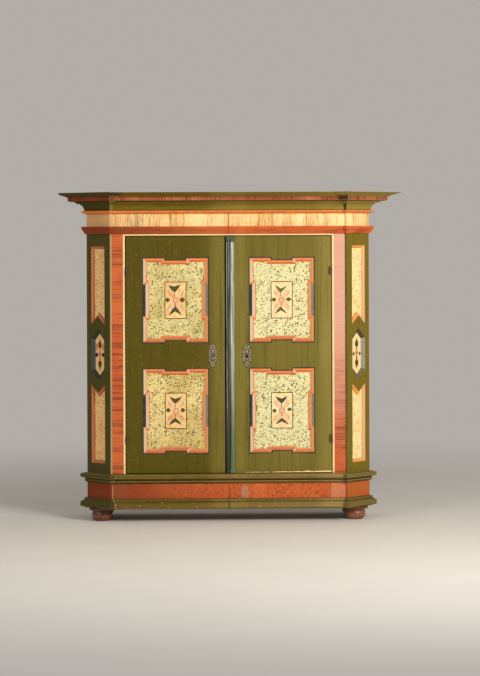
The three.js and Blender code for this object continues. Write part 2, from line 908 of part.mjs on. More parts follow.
function barrel(radius, low, high) {
  const cylinder = new THREE.CylinderGeometry(radius, radius, high - low, hingeSides);
  return cylinder.rotateX(Math.PI / 2).translate(0, 0, (low + high) / 2);
}

// The half on the stile, about its own axis: a knuckle, a pin above it, and a leaf that crosses
// the gap behind the knuckle and is let into the stile.
function lowerHingeHalf() {
  const half = hingeLength / 2;
  const bendStart = hingeRadius - hingeLeafThickness;
  const leafEnd = hingeInset + hingeLeafThickness;
  const heights = [-half, -seatGap];
  return joined(
    barrel(hingeRadius, -half, -seatGap),
    barrel(hingePinRadius, -half / 2, hingePinShare * hingeLength),
    block([0, leafEnd], [bendStart, hingeRadius], heights),
    block([hingeInset, leafEnd], [bendStart, hingeProud + hingeLeafDepth], heights),
  );
}

// The half on the door, with a bore that drops over the pin.
function upperHingeHalf() {
  const half = hingeLength / 2;
  const leafEnd = hingeInset - doorGap;
  const leaf = block(
    [leafEnd - hingeLeafThickness, leafEnd],
    [0, hingeProud + hingeLeafDepth],
    [seatGap, half],
  );
  const boreRadius = (hingePinRadius + hingeRunningGap) / Math.cos(Math.PI / hingeSides);
  const bore = barrel(boreRadius, -cutOverrun, hingePinShare * hingeLength + seatGap);
  return cut(joined(barrel(hingeRadius, seatGap, half), leaf), bore);
}

function addHinges() {
  const lower = lowerHingeHalf();
  const upper = upperHingeHalf();
  const axisY = -hingeProud;
  hingeHeights.forEach((z, i) => {
    const level = ["lower", "upper"][i];
    const ends = [
      ["right", 1, rightDoor, (geometry) => geometry],
      ["left", -1, leftDoor, mirrored],
    ];
    for (const [side, sign, door, handed] of ends) {
      const name = side + "_" + level + "_hinge_";
      const fixed = addPiece(wardrobe, name + "pin_half", paint.iron, handed(lower));
      const moving = addPiece(door, name + "door_half", paint.iron, handed(upper));
      fixed.position.set(sign * hingeX, frontY + axisY, z);
      moving.position.set(sign * hingeX, axisY, z);
    }
  });
}

// The pierced oval plates round the keys

function escutcheonGeometry(withKeyhole) {
  const outline = new THREE.Shape();
  for (let i = 0; i < escutcheonSteps; i++) {
    const angle = (i / escutcheonSteps) * 2 * Math.PI;
    const swell = 1 + scallopShare * Math.cos(scallopCount * angle);
    const x = (escutcheonWidth / 2) * swell * Math.cos(angle);
    const z = (escutcheonHeight / 2) * swell * Math.sin(angle);
    outline[i ? "lineTo" : "moveTo"](x, z);
  }
  const placeShares = [
    [0, 0.66],
    [0, -0.66],
    [0.48, 0.3],
    [-0.48, 0.3],
    [0.48, -0.3],
    [-0.48, -0.3],
  ];
  const halfWidthShare = 0.2;
  const halfHeightShare = 0.14;
  for (const [across, up] of placeShares) {
    const hole = new THREE.Path();
    for (let i = 0; i < piercingSteps; i++) {
      const angle = (-i / piercingSteps) * 2 * Math.PI;
      const x = (escutcheonWidth / 2) * (across + halfWidthShare * Math.cos(angle));
      const z = (escutcheonHeight / 2) * (up + halfHeightShare * Math.sin(angle));
      hole[i ? "lineTo" : "moveTo"](x, z);
    }
    outline.holes.push(hole);
  }
  const plate = new THREE.ExtrudeGeometry(outline, { depth: plateThickness, bevelEnabled: false });
  plate.deleteAttribute("normal");
  plate.deleteAttribute("uv");
  plate.rotateX(Math.PI / 2);
  return cut(plate, ...(withKeyhole ? [keyhole(0, -plateThickness, 0, 0)] : []));
}

function addEscutcheons() {
  const left = addPiece(leftDoor, "left_escutcheon", paint.tinned, escutcheonGeometry(false));
  const right = addPiece(rightDoor, "right_escutcheon", paint.tinned, escutcheonGeometry(true));
  left.position.set(leftDoorEdge - leftEscutcheonInset, -seatGap, middleRailZ);
  right.position.set(rightDoorEdge + keyInset, -seatGap, middleRailZ);
}

// The moulded strip on the right door's free edge, with a plain block at each end.
function addAstragal() {
  const low = rightDoorEdge + astragalStart;
  const outShares = [0, 0, 0.18, 0.22, 0.27, 0.38, 0.43, 0.47, 0.53, 0.64, 0.82, 0.93, 1, 1];
  const proudShares = [0, 0.38, 0.38, 0.62, 0.7, 0.62, 0.25, 0.25, 0.8, 1, 1, 0.8, 0.38, 0];
  const plan = outShares.map((share, i) => [
    low + share * astragalWidth,
    -seatGap - proudShares[i] * astragalProud,
  ]);
  const stops = [doorBottom, doorTop - astragalStop].map((z) =>
    block([low, low + astragalWidth], [-seatGap - astragalProud, -seatGap], [z, z + astragalStop]),
  );
  addPiece(
    rightDoor,
    "astragal",
    paint.greyGreen,
    joined(upright(plan, doorBottom, doorTop), ...stops),
  );
}

// The lock on the back of the right door: a case with a channel that its bolt slides in.
function addLock() {
  const keyX = rightDoorEdge + keyInset;
  const caseY = doorThickness + seatGap;
  const start = rightDoorEdge + astragalStart;
  const boltY = caseY + (lockCaseThickness - lockBoltThickness) / 2;
  const box = block(
    [start, start + lockCaseLength],
    [caseY, caseY + lockCaseThickness],
    [middleRailZ - lockCaseHeight / 2, middleRailZ + lockCaseHeight / 2],
  );
  const boltZ = middleRailZ - lockCaseHeight / 4;
  const channel = block(
    [start - cutOverrun, start + lockBoltLength + slideGap],
    [boltY - slideGap, boltY + lockBoltThickness + slideGap],
    [boltZ - lockBoltHeight / 2 - slideGap, boltZ + lockBoltHeight / 2 + slideGap],
  );
  const keyWay = keyhole(keyX, caseY, caseY + plateThickness, middleRailZ);
  addPiece(rightDoor, "lock_case", paint.iron, cut(box, channel, keyWay));
  addPiece(
    rightDoor,
    "lock_bolt",
    paint.iron,
    block(
      [start, start + lockBoltLength],
      [boltY, boltY + lockBoltThickness],
      [boltZ - lockBoltHeight / 2, boltZ + lockBoltHeight / 2],
    ),
  );
}

// Where the left door's two bolts lie on its back.
function leftBoltPlace() {
  const near = doorThickness + seatGap + plateThickness + slideGap;
  return { x: leftDoorEdge - boltInset, y: [near, near + boltThickness] };
}

// A flat bolt that points up from the origin's height, with a knob; and its plate with two staples.
function boltGeometry() {
  const { y } = leftBoltPlace();
  const knob = new THREE.CylinderGeometry(knobRadius, knobRadius, knobLength, hingeSides);
  const knobShare = 0.62;
  knob.translate(0, y[1] + knobLength / 2 - slideGap, -knobShare * boltLength);
  return joined(block([-boltWidth / 2, boltWidth / 2], y, [-boltLength, 0]), knob);
}

function boltPlateGeometry() {
  const { y } = leftBoltPlace();
  const top = -boltPlateOffset;
  const plateY = doorThickness + seatGap;
  const plate = block(
    [-boltPlateWidth / 2, boltPlateWidth / 2],
    [plateY, plateY + plateThickness],
    [top - boltPlateHeight, top],
  );
  const halfOuter = boltWidth / 2 + slideGap + stapleWall;
  const halfInner = boltWidth / 2 + slideGap;
  const stapleZs = [top - stapleHeight - stapleWall, top - boltPlateHeight + stapleWall];
  const staples = stapleZs.map((z) =>
    block([-halfOuter, halfOuter], [plateY, y[1] + slideGap + stapleWall], [z, z + stapleHeight]),
  );
  const channel = block(
    [-halfInner, halfInner],
    [y[0] - slideGap, y[1] + slideGap],
    [top - boltPlateHeight - cutOverrun, cutOverrun],
  );
  return cut(joined(plate, ...staples), channel);
}

function addLeftBolts() {
  const { x } = leftBoltPlace();
  const bolt = boltGeometry();
  const plate = boltPlateGeometry();
  const places = [
    ["upper", doorTop - boltSetback, 1],
    ["lower", doorBottom + boltSetback, -1],
  ];
  for (const [level, z, sign] of places) {
    for (const [name, geometry] of [["bolt", bolt], ["bolt_plate", plate]]) {
      const placed = sign > 0 ? geometry : geometry.clone().rotateY(Math.PI);
      addPiece(leftDoor, level + "_" + name, paint.iron, placed).position.set(x, 0, z);
    }
  }
}

addRings();
addFeet();
addDecks();
addCarcase();
addPilasters();
addHinges();
const doorEdge = openingHalf - doorGap;
const leftPanels = panelPlaces(hingeStileWidth - doorEdge, leftDoorEdge - leftLockStile);
const rightPanels = panelPlaces(rightDoorEdge + rightLockStile, doorEdge - hingeStileWidth);
addDoor({ side: "left", sign: -1, edges: [-doorEdge, leftDoorEdge], panels: leftPanels }, leftDoor);
addDoor(
  {
    side: "right",
    sign: 1,
    edges: [rightDoorEdge, doorEdge],
    panels: rightPanels,
    keyX: rightDoorEdge + keyInset,
  },
  rightDoor,
);
addEscutcheons();
addAstragal();
addLock();
addLeftBolts();

export default wardrobe;
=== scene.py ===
# A painted farmhouse wardrobe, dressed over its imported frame. Lengths are in metres, but where a note says
# otherwise.
import math

import bmesh
import bpy
import numpy as np
from mathutils import Matrix, Vector


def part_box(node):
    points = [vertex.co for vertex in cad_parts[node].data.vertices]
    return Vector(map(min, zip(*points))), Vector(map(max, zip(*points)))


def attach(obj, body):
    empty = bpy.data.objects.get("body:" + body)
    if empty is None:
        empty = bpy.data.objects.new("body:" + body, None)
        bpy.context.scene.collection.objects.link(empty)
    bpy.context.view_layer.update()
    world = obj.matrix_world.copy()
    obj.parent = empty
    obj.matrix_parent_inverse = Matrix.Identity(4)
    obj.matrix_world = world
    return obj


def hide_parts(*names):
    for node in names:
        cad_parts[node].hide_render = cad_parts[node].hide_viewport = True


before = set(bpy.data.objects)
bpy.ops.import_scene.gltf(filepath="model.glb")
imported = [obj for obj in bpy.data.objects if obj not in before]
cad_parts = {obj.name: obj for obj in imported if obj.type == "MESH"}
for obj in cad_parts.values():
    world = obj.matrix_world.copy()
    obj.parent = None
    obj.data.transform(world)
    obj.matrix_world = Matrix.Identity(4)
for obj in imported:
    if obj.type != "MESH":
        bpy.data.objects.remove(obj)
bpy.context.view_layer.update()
print("frame loaded:", len(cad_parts), "nodes")

# Where the main faces of the case lie, read from the frame
sideLow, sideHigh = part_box("right_side_board")
stileLow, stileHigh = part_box("right_stile")
halfWidth, backY = sideHigh.x, sideHigh.y
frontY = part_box("right_door_frame")[0].y
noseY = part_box("right_pilaster")[0].y
noseX = halfWidth - (sideLow.y - noseY)
nook = noseX - (frontY - noseY)  # where the plane of the doors meets the cut corner
bodyBase, bodyTop, openingHalf = stileLow.z, stileHigh.z, stileLow.x
lozengeZ = (bodyBase + bodyTop) / 2 - 0.0055
hands, levels = ("left", "right"), ("upper", "lower")

camera = {
    "distance": 13.119,  # from the lens to the front of the doors
    "height": 1.614,
    "turn": 1.54,  # degrees to the right
    "roll": -0.22,
    "focalPixels": 2330,
    "horizonRow": 235,
    "centreColumn": 228.3,
    "imageWidth": 480,
    "imageHeight": 676,
    "sensor": 36,
    "clipEnd": 200,
}


def setCamera():
    turn = math.radians(camera["turn"])
    ahead = Vector((math.sin(turn), math.cos(turn), 0))
    right = Vector((math.cos(turn), -math.sin(turn), 0))
    aside = (camera["centreColumn"] - camera["imageWidth"] / 2) / camera["focalPixels"] * camera["distance"]
    eye = Vector((0, frontY, camera["height"])) - ahead * camera["distance"] - right * aside
    data = bpy.data.cameras.new("photoLens")
    data.sensor_fit = "VERTICAL"
    data.sensor_height = camera["sensor"]
    data.lens = camera["focalPixels"] * camera["sensor"] / camera["imageHeight"]
    data.shift_y = (camera["horizonRow"] - camera["imageHeight"] / 2) / camera["imageHeight"]
    data.clip_end = camera["clipEnd"]
    lens = bpy.data.objects.new("photoCamera", data)
    aim = Matrix.Rotation(-turn, 4, "Z") @ Matrix.Rotation(math.pi / 2, 4, "X")
    aim = aim @ Matrix.Rotation(math.radians(camera["roll"]), 4, "Z")
    lens.matrix_world = Matrix.Translation(eye) @ aim
    bpy.context.scene.collection.objects.link(lens)
    bpy.context.scene.camera = lens


setCamera()
print("camera set")


# Light as a linear colour, from the 0 to 255 values that a painter would read off a chart
def tint(red, green, blue):
    channels = []
    for value in (red / 255, green / 255, blue / 255):
        channels.append(value / 12.92 if value <= 0.04045 else ((value + 0.055) / 1.055) ** 2.4)
    return (*channels, 1.0)


# A shader node with its settings, and its inputs as values or as the outputs of other nodes
def wiredNode(tree, kind, inputs, output=0, **settings):
    made = tree.nodes.new("ShaderNode" + kind)
    for key, value in settings.items():
        setattr(made, key, value)
    for key, value in inputs.items():
        if hasattr(value, "links"):
            tree.links.new(value, made.inputs[key])
        else:
            made.inputs[key].default_value = value
    return made.outputs[output]


# A finish that is built up from layers of nodes over a ground colour. An amount is a number or a pattern.
class Finish:
    def __init__(self, name, ground, rough, sheen=0.5, metallic=0.0):
        self.material = bpy.data.materials.new(name)
        self.material.use_nodes = True
        self.tree = self.material.node_tree
        self.shader = self.tree.nodes["Principled BSDF"]
        self.shader.inputs["Roughness"].default_value = rough
        self.shader.inputs["Metallic"].default_value = metallic
        self.shader.inputs["Specular IOR Level"].default_value = sheen
        self.place = self.wired("TexCoord", {}, "Object")
        self.colour = tint(*ground)

    def wired(self, kind, inputs, output=0, **settings):
        return wiredNode(self.tree, kind, inputs, output, **settings)

    # The place scaled by three factors, so that a pattern stretches along the smallest
    def stretched(self, scale, turn=0.0):
        inputs = {"Vector": self.place, "Scale": scale, "Rotation": (0, 0, turn)}
        return self.wired("Mapping", inputs, "Vector")

    # Noise with one scale, or with one for each axis
    def noise(self, scale, detail=3.0, rough=0.55, wave=0.0, vector=None):
        if isinstance(scale, (tuple, list)):
            vector, scale = self.stretched(scale), 1.0
        place = self.place if vector is None else vector
        inputs = {"Vector": place, "Scale": scale, "Detail": detail, "Roughness": rough, "Distortion": wave}
        return self.wired("TexNoise", inputs, "Fac")

    # Round spots of uneven size, one in each cell of a random net
    def spots(self, scale, size, vector):
        distance = self.wired("TexVoronoi", {"Vector": vector, "Scale": scale}, "Distance")
        return self.step(distance, size, size * 0.8)

    # A smooth step from 0 at low to 1 at high; it falls where low is above high
    def step(self, value, low, high):
        falls = low > high
        inputs = {
            "Value": value, "From Min": min(low, high), "From Max": max(low, high),
            "To Min": float(falls), "To Max": float(not falls),
        }
        return self.wired("MapRange", inputs, "Result", interpolation_type="SMOOTHSTEP")

    def sum(self, kind, first, second=0.0):
        return self.wired("Math", {0: first, 1: second}, operation=kind)

    def times(self, first, *others):
        for other in others:
            first = self.sum("MULTIPLY", first, other)
        return first

    def plus(self, first, second):
        return self.sum("ADD", first, second)

    # How far a value lies from a middle
    def off(self, value, middle=0.0):
        return self.sum("ABSOLUTE", self.sum("SUBTRACT", value, middle))

    def axis(self, name):
        return self.wired("SeparateXYZ", {0: self.place}, name)

    # How far a place lies beyond a plane, from a point on the plane and the direction away from it
    def beyond(self, point, direction):
        apart = self.wired("VectorMath", {0: self.place, 1: point}, operation="SUBTRACT")
        return self.wired("VectorMath", {0: apart, 1: direction}, "Value", operation="DOT_PRODUCT")

    def blend(self, amount, first, second):
        return self.wired("Mix", {0: amount, 6: first, 7: second}, 2, data_type="RGBA")

    # A shade laid over what is there, by the product of some amounts
    def over(self, shade, *amounts):
        self.colour = self.blend(self.times(*amounts), self.colour, tint(*shade))

    # A shade laid over what is there, where a pattern steps from low to high
    def layer(self, shade, pattern, low, high, *amounts):
        self.over(shade, self.step(pattern, low, high), *amounts)

    # Dark lines in the creases of the mouldings, painted shade with some dirt: each is a height and half the
    # line's width
    def grime(self, lines):
        for height, half in lines:
            self.layer((40, 30, 14), self.off(self.axis("Z"), height), half, half * 0.3, 0.72)

    # Paint rubbed off along the left mitre, below a height, down to a pale ground
    def chip(self, below):
        acrossMitre = (math.cos(math.pi / 8), math.sin(math.pi / 8), 0)
        near = self.step(self.off(self.beyond((-nook, frontY, 0), acrossMitre)), 0.0034, 0.0018)
        broken = self.step(self.noise((20, 20, 60), 2, 0.6), 0.36, 0.5)
        low = self.step(self.axis("Z"), below, below - 0.01)
        ahead = self.step(self.axis("Y"), frontY + 0.03, frontY + 0.02)
        self.over((204, 184, 138), near, broken, low, ahead, 0.55)

    def relief(self, height, depth):
        inputs = {"Strength": 1.0, "Distance": depth, "Height": height}
        earlier = self.shader.inputs["Normal"].links
        if earlier:
            inputs["Normal"] = earlier[0].from_socket
        self.tree.links.new(self.wired("Bump", inputs, "Normal"), self.shader.inputs["Normal"])

    def done(self, gloss=None):
        self.tree.links.new(self.colour, self.shader.inputs["Base Color"])
        if gloss is not None:
            self.tree.links.new(gloss, self.shader.inputs["Roughness"])
        return self.material


# Each way of paling, by fading and by painted sheen, starts at one place, is full at the next, and has a
# strength
oil = {
    "streaks": {"up": (70, 70, 2.2), "level": (2.2, 2.2, 70)},
    "scratchShare": 1.7,  # how much finer than the streaks the pale scratches are
    "knocked": (182, 152, 86),
    # paler towards the right across the case: painted sheen, with some fading
    "rightwardSheen": (-0.25, 0.3, 0.42),  # across the case
    "byLock": (0.13, 0.07, 0.3),
    "byHinges": (0.47, 0.56, 0.4),
    "rough": 0.64,
}


# Old oil paint: brush streaks along the board, broad fading, and small knocks down to the ground.
# It is deep on the left of the case and paler towards the right, partly by fading and partly as painted
# sheen for the light from the right; it is paler by the lock and by the right hinges too.
def oilPaint(name, ground, deep, faded, along, wear=0.69, grime=(), chipped=0):
    paint = Finish(name, ground, oil["rough"], 0.12)
    scale = oil["streaks"][along]
    streaks = paint.noise(scale, 3, 0.6)
    mottle = paint.noise(38, 4, 0.65)
    across = paint.axis("X")
    wornAndSheen = 0.0
    for value, part in ((across, "rightwardSheen"), (paint.off(across), "byLock"), (across, "byHinges")):
        low, high, strength = oil[part]
        wornAndSheen = paint.plus(wornAndSheen, paint.times(paint.step(value, low, high), strength))
    wornAndSheen = paint.times(wornAndSheen, paint.plus(paint.times(paint.noise(2.6, 2, 0.5), 0.9), 0.55))
    # Paler by fading, and towards the right by painted sheen
    paint.over(faded, wornAndSheen)
    paint.layer(deep, streaks, 0.5, 0.72, 0.45)
    scratches = paint.noise([value * oil["scratchShare"] for value in scale], 3, 0.65)
    paint.layer(faded, scratches, 0.6, 0.78, paint.plus(wornAndSheen, 0.1))
    paint.layer(faded, mottle, 0.52, 0.7, 0.16)
    paint.layer(oil["knocked"], paint.noise(95, 3, 0.6), wear, wear + 0.04, 0.8)
    paint.grime(grime)
    if chipped:
        paint.chip(chipped)
    paint.relief(streaks, 0.0003)
    paint.relief(mottle, 0.00025)
    return paint.done(paint.plus(paint.times(mottle, 0.22), oil["rough"] - 0.11))


# A painted block under each stile on the plinth's band, the seam beside the right one, and the right corner
blocks = {
    "edge": 0.572,
    "left": (142, 76, 44),
    "right": (202, 130, 92),
    "seam": (112, 62, 40),
    "corner": (176, 94, 34),
    "blur": 0.001,
    "chippedBelow": 0.3,
}


def paintBlocks(paint):
    x, edge, blur = paint.axis("X"), blocks["edge"], blocks["blur"]
    face = paint.step(paint.axis("Y"), frontY + 0.0004, frontY + 0.0001)
    face = paint.times(face, paint.step(paint.off(x), nook + blur, nook), 0.6)
    paint.layer(blocks["corner"], x, nook, nook + blur, 0.62)
    paint.layer(blocks["left"], x, -edge, -edge - blur, face)
    paint.layer(blocks["right"], x, edge, edge + blur, face)
    paint.layer(blocks["seam"], paint.off(x, edge), 0.0018, 0.0009, 0.6)
    paint.chip(blocks["chippedBelow"])


combed = {
    "clouds": {"level": (6, 6, 14), "up": (14, 14, 6)},
    "flecks": (226, 178, 120),
    # where the painted shade on the left and the painted sheen on the right start and are full
    "dusk": (0.15, -0.8),
    "sheenHeight": (0.5, 1.4),
    "sheenAcross": (0, 0.3),
}


# Red paint dragged with a comb, so that darker lines run across it; along gives the lines' direction.
# A colour given for the right side is painted over it from the top down, as painted sheen; one given for
# the left side is painted over it towards the left end, as painted shade.
def combedPaint(
    name, ground, dark, pale, along, lines=(2.5, 110), strength=0.75, bleached=None, dusky=None, blocked=False
):
    paint = Finish(name, ground, 0.6, 0.2)
    slow, fast = lines
    dragged = paint.noise({"level": (slow, slow, fast), "up": (fast, fast, slow)}[along], 2, 0.7, 0.2)
    grit = paint.noise(160, 3, 0.7)
    cloudy = paint.step(paint.noise(combed["clouds"][along], 3, 0.6), 0.32, 0.54)
    marks = paint.times(paint.step(dragged, 0.49, 0.6), cloudy)
    paint.layer(pale, paint.noise(5, 2), 0.4, 0.65)
    # Painted shade: the left side darker
    if dusky:
        paint.layer(dusky, paint.axis("X"), *combed["dusk"])
    # Painted sheen: the right side paler from the top down
    if bleached:
        height = paint.plus(paint.axis("Z"), paint.times(paint.noise(4, 3), 0.4))
        across = paint.step(paint.axis("X"), *combed["sheenAcross"])
        fade = paint.times(paint.step(height, *combed["sheenHeight"]), across)
        paint.over(bleached, fade)
        marks = paint.times(marks, paint.sum("SUBTRACT", 1.0, paint.times(fade, 0.88)))
    paint.over(dark, marks, strength)
    paint.layer(dark, grit, 0.55, 0.75, 0.25)
    paint.layer(combed["flecks"], paint.noise(120, 2, 0.5), 0.69, 0.73, 0.5)
    if blocked:
        paintBlocks(paint)
    paint.relief(dragged, 0.0004)
    return paint.done(paint.plus(paint.times(grit, 0.2), 0.5))


grained = {
    "pale": (252, 217, 152),
    "cloud": (222, 168, 100),
    "stroke": (136, 98, 56),
    # painted shade on the left end, at the cut corner
    "leftEndShade": (214, 168, 112),
    "deepStroke": (120, 88, 50),
    "rosy": (206, 120, 84),
    "joint": (120, 92, 58),
}


# Cream paint with brown grain strokes that stand in clusters, and painted shade that darkens its left end,
# on the cut corner
def grainedCream(name, ground):
    paint = Finish(name, ground, 0.62, 0.2)
    strokes = paint.noise((210, 210, 12), 3, 0.8, 0.8)
    clusters = paint.noise((15, 15, 2), 2, 0.5)
    paint.layer(grained["pale"], paint.noise((9, 9, 2), 2, 0.5), 0.4, 0.62)
    paint.layer(grained["cloud"], clusters, 0.46, 0.6, 0.4)
    marks = paint.times(paint.step(strokes, 0.52, 0.6), paint.step(clusters, 0.36, 0.56))
    paint.over(grained["stroke"], marks, 0.62)
    # Painted shade at the left end
    paint.layer(grained["leftEndShade"], paint.axis("X"), -0.55, -0.72)
    paint.over(grained["deepStroke"], marks, 0.35)
    paint.layer(grained["rosy"], paint.noise((80, 80, 8), 2, 0.5), 0.62, 0.7, 0.6)
    paint.layer(grained["joint"], paint.noise((26, 26, 0.5), 0, 0.5), 0.69, 0.7, 0.5)
    paint.relief(strokes, 0.0003)
    return paint.done()


sprinkled = {"brown": (96, 66, 26), "bluish": (66, 92, 84), "dots": 72, "smallDots": 150, "curls": 54}


# Cream field sprinkled with small green and brown dabs of a sponge
def sprinkledField(name, ground, shade, dabs, density=0.0, size=1.0, right=None):
    paint = Finish(name, ground, 0.58, 0.2)
    broad = paint.noise(7, 3, 0.6)
    paint.layer(shade, broad, 0.38, 0.64)
    if right:
        paint.layer(right, paint.axis("X"), -0.1, 0.2, 0.85)
    warp = paint.times(paint.noise(60, 2, 0.5), 0.02)
    wavy = paint.wired("VectorMath", {0: paint.place, 1: warp}, operation="ADD")
    dots = paint.spots(sprinkled["dots"] * size, 0.33 + density, wavy)
    dots = paint.times(dots, paint.step(paint.noise(34 * size, 2, 0.5), 0.4, 0.5))
    small = paint.spots(sprinkled["smallDots"] * size, 0.3 + density, paint.stretched((1, 1, 0.8), 0.4))
    curl = paint.off(paint.noise(sprinkled["curls"] * size, 1, 0.4, 0, wavy), 0.5)
    curls = paint.times(paint.step(curl, 0.026, 0.014), paint.step(paint.noise(30, 2, 0.5), 0.52, 0.56))
    marks = paint.sum("MAXIMUM", paint.sum("MAXIMUM", dots, paint.times(small, 0.75)), curls)
    cream, paint.colour = paint.colour, tint(*dabs)
    paint.layer(sprinkled["brown"], paint.noise(40, 2), 0.52, 0.58)
    paint.layer(sprinkled["bluish"], paint.noise(11, 1), 0.62, 0.66, 0.8)
    paint.colour = paint.blend(paint.times(marks, 0.92), cream, paint.colour)
    paint.relief(marks, 0.0002)
    paint.relief(broad, 0.0004)
    return paint.done()


# A plain dab of decorator's colour, a little uneven
def brushedColour(name, ground, shade, fine=60):
    paint = Finish(name, ground, 0.6, 0.25)
    uneven = paint.noise(fine, 4, 0.65)
    paint.layer(shade, uneven, 0.38, 0.66)
    paint.layer(shade, paint.noise((90, 90, 12), 3, 0.6), 0.5, 0.7, 0.3)
    paint.relief(uneven, 0.0003)
    return paint.done()


splay = {"streak": (196, 96, 48), "speck": (250, 214, 170), "blurShare": 0.07, "wanderShare": 0.5}


# Paint on the sloping walls round a sunk field, in bands from the outer edge down to the field. The place
# is measured down from the face of the wood; each band is the share of the depth where it starts, and its
# colour.
def splayPaint(name, plane, *bands):
    paint = Finish(name, bands[0][1], 0.6, 0.2)
    face, inward, deep = plane
    wandering = paint.times(paint.sum("SUBTRACT", paint.noise(14, 2), 0.5), deep * splay["wanderShare"])
    depth = paint.plus(paint.beyond(face, inward), wandering)
    blur = splay["blurShare"]
    for share, shade in bands[1:]:
        paint.layer(shade, depth, deep * (share - blur), deep * (share + blur))
    streaks = paint.step(paint.noise((90, 90, 12), 3, 0.6), 0.5, 0.72)
    paint.over(splay["streak"], streaks, 0.25)
    paint.layer(splay["speck"], paint.noise(150, 3, 0.6), 0.62, 0.68, 0.35)
    paint.relief(streaks, 0.0003)
    return paint.done()


pine = {"pale": (172, 134, 88), "dark": (138, 102, 62), "aged": (112, 86, 58), "fibreShare": 7}


# Bare softwood that has darkened: growth rings drawn out along the board, fibres and stains
def barePine(name, along, tone=1.0):
    pale, dark, aged = [[channel * tone for channel in pine[shade]] for shade in ("pale", "dark", "aged")]
    wood = Finish(name, pale, 0.72, 0.25)
    scale = {"up": (26, 26, 1.1), "across": (1.1, 26, 26)}[along]
    rings = wood.noise(scale, 2, 0.5, 0.35)
    fibres = wood.noise([value * pine["fibreShare"] for value in scale], 2, 0.6)
    wood.layer(dark, rings, 0.34, 0.68)
    wood.layer(aged, fibres, 0.42, 0.72, 0.45)
    wood.layer(aged, wood.noise(3.2, 3, 0.6), 0.46, 0.72, 0.5)
    wood.relief(rings, 0.0006)
    wood.relief(fibres, 0.0004)
    return wood.done()


# Forged or sheet metal with stains; pits is how much rust or bare metal shows
def oldMetal(name, ground, stain, rough, metallic, pits=0.5):
    metal = Finish(name, ground, rough, metallic=metallic)
    cloudy = metal.noise(85, 4, 0.65)
    metal.layer(stain, cloudy, 0.4, 0.62)
    metal.layer(stain, metal.noise(240, 3, 0.6), 0.55, 0.66, pits)
    metal.relief(cloudy, 0.0006)
    return metal.done(metal.plus(metal.times(cloudy, 0.3), rough - 0.12))


foot = {
    "bun": 0.059,
    "widest": 0.035,
    "flat": 0.034,
    "neck": 0.054,
    "neckHeight": 0.047,
    "collar": 0.0735,
    "collarLow": 0.061,
    "height": 0.074,
    "grooves": (0.0235, 0.032),
    "grooveDepth": 0.0016,
    "grooveWidth": 0.0013,
    "collarSwell": 0.0005,
    "pole": 0.0001,
    "cloud": (88, 42, 26),
    "grain": (58, 30, 20),
    "rubbed": (190, 116, 74),
    # painted light on the right-hand feet
    "rightLit": (190, 122, 74),
    # painted shade on the lowest part
    "undersideShade": (56, 32, 20),
    "band": (176, 128, 66),  # between the two scribed lines
    "scribed": (52, 28, 14),
    # painted shade on the collar
    "collarShade": (44, 28, 16),
}


# Dark varnish over red-brown paint, rubbed to tan between the two scribed lines. Painted shade darkens the
# collar to black and darkens the lowest part, and painted light makes the right-hand feet lighter.
def footVarnish(name, ground):
    varnish = Finish(name, ground, 0.24, 0.6)
    clouds = varnish.noise(24, 4, 0.6)
    grain = varnish.noise((30, 30, 160), 3, 0.6)
    height = varnish.axis("Z")
    lower, upper = foot["grooves"]
    fromBand = varnish.off(height, (lower + upper) / 2)
    varnish.layer(foot["cloud"], clouds, 0.38, 0.62)
    varnish.layer(foot["grain"], grain, 0.5, 0.7, 0.4)
    varnish.layer(foot["rubbed"], varnish.noise(60, 3, 0.6), 0.6, 0.7, 0.5)
    # Painted light on the right-hand feet, and painted shade on the lowest part
    varnish.layer(foot["rightLit"], varnish.axis("X"), 0.0, 0.1, 0.3)
    varnish.layer(foot["undersideShade"], height, 0.018, 0.008, 0.4)
    varnish.layer(foot["band"], fromBand, 0.0026, 0.0012, 0.6)
    fromLine = varnish.off(fromBand, (upper - lower) / 2)
    varnish.layer(foot["scribed"], fromLine, 0.0014, 0.0006, 0.6)
    # Painted shade on the collar
    varnish.layer(foot["collarShade"], height, 0.05, 0.06, 0.6)
    varnish.relief(grain, 0.0003)
    return varnish.done(varnish.plus(varnish.times(clouds, 0.16), 0.14))


strip = {
    "left": ((30, 40, 28), (52, 54, 44)),  # low down, and at hand height and above
    "right": ((88, 104, 72), (142, 146, 124)),
    # pale streaks: partly wear, partly painted highlight
    "bare": (222, 220, 202),
    "dirt": (44, 44, 36),
    "cap": (70, 84, 56),
    "capHeight": 0.034,
}


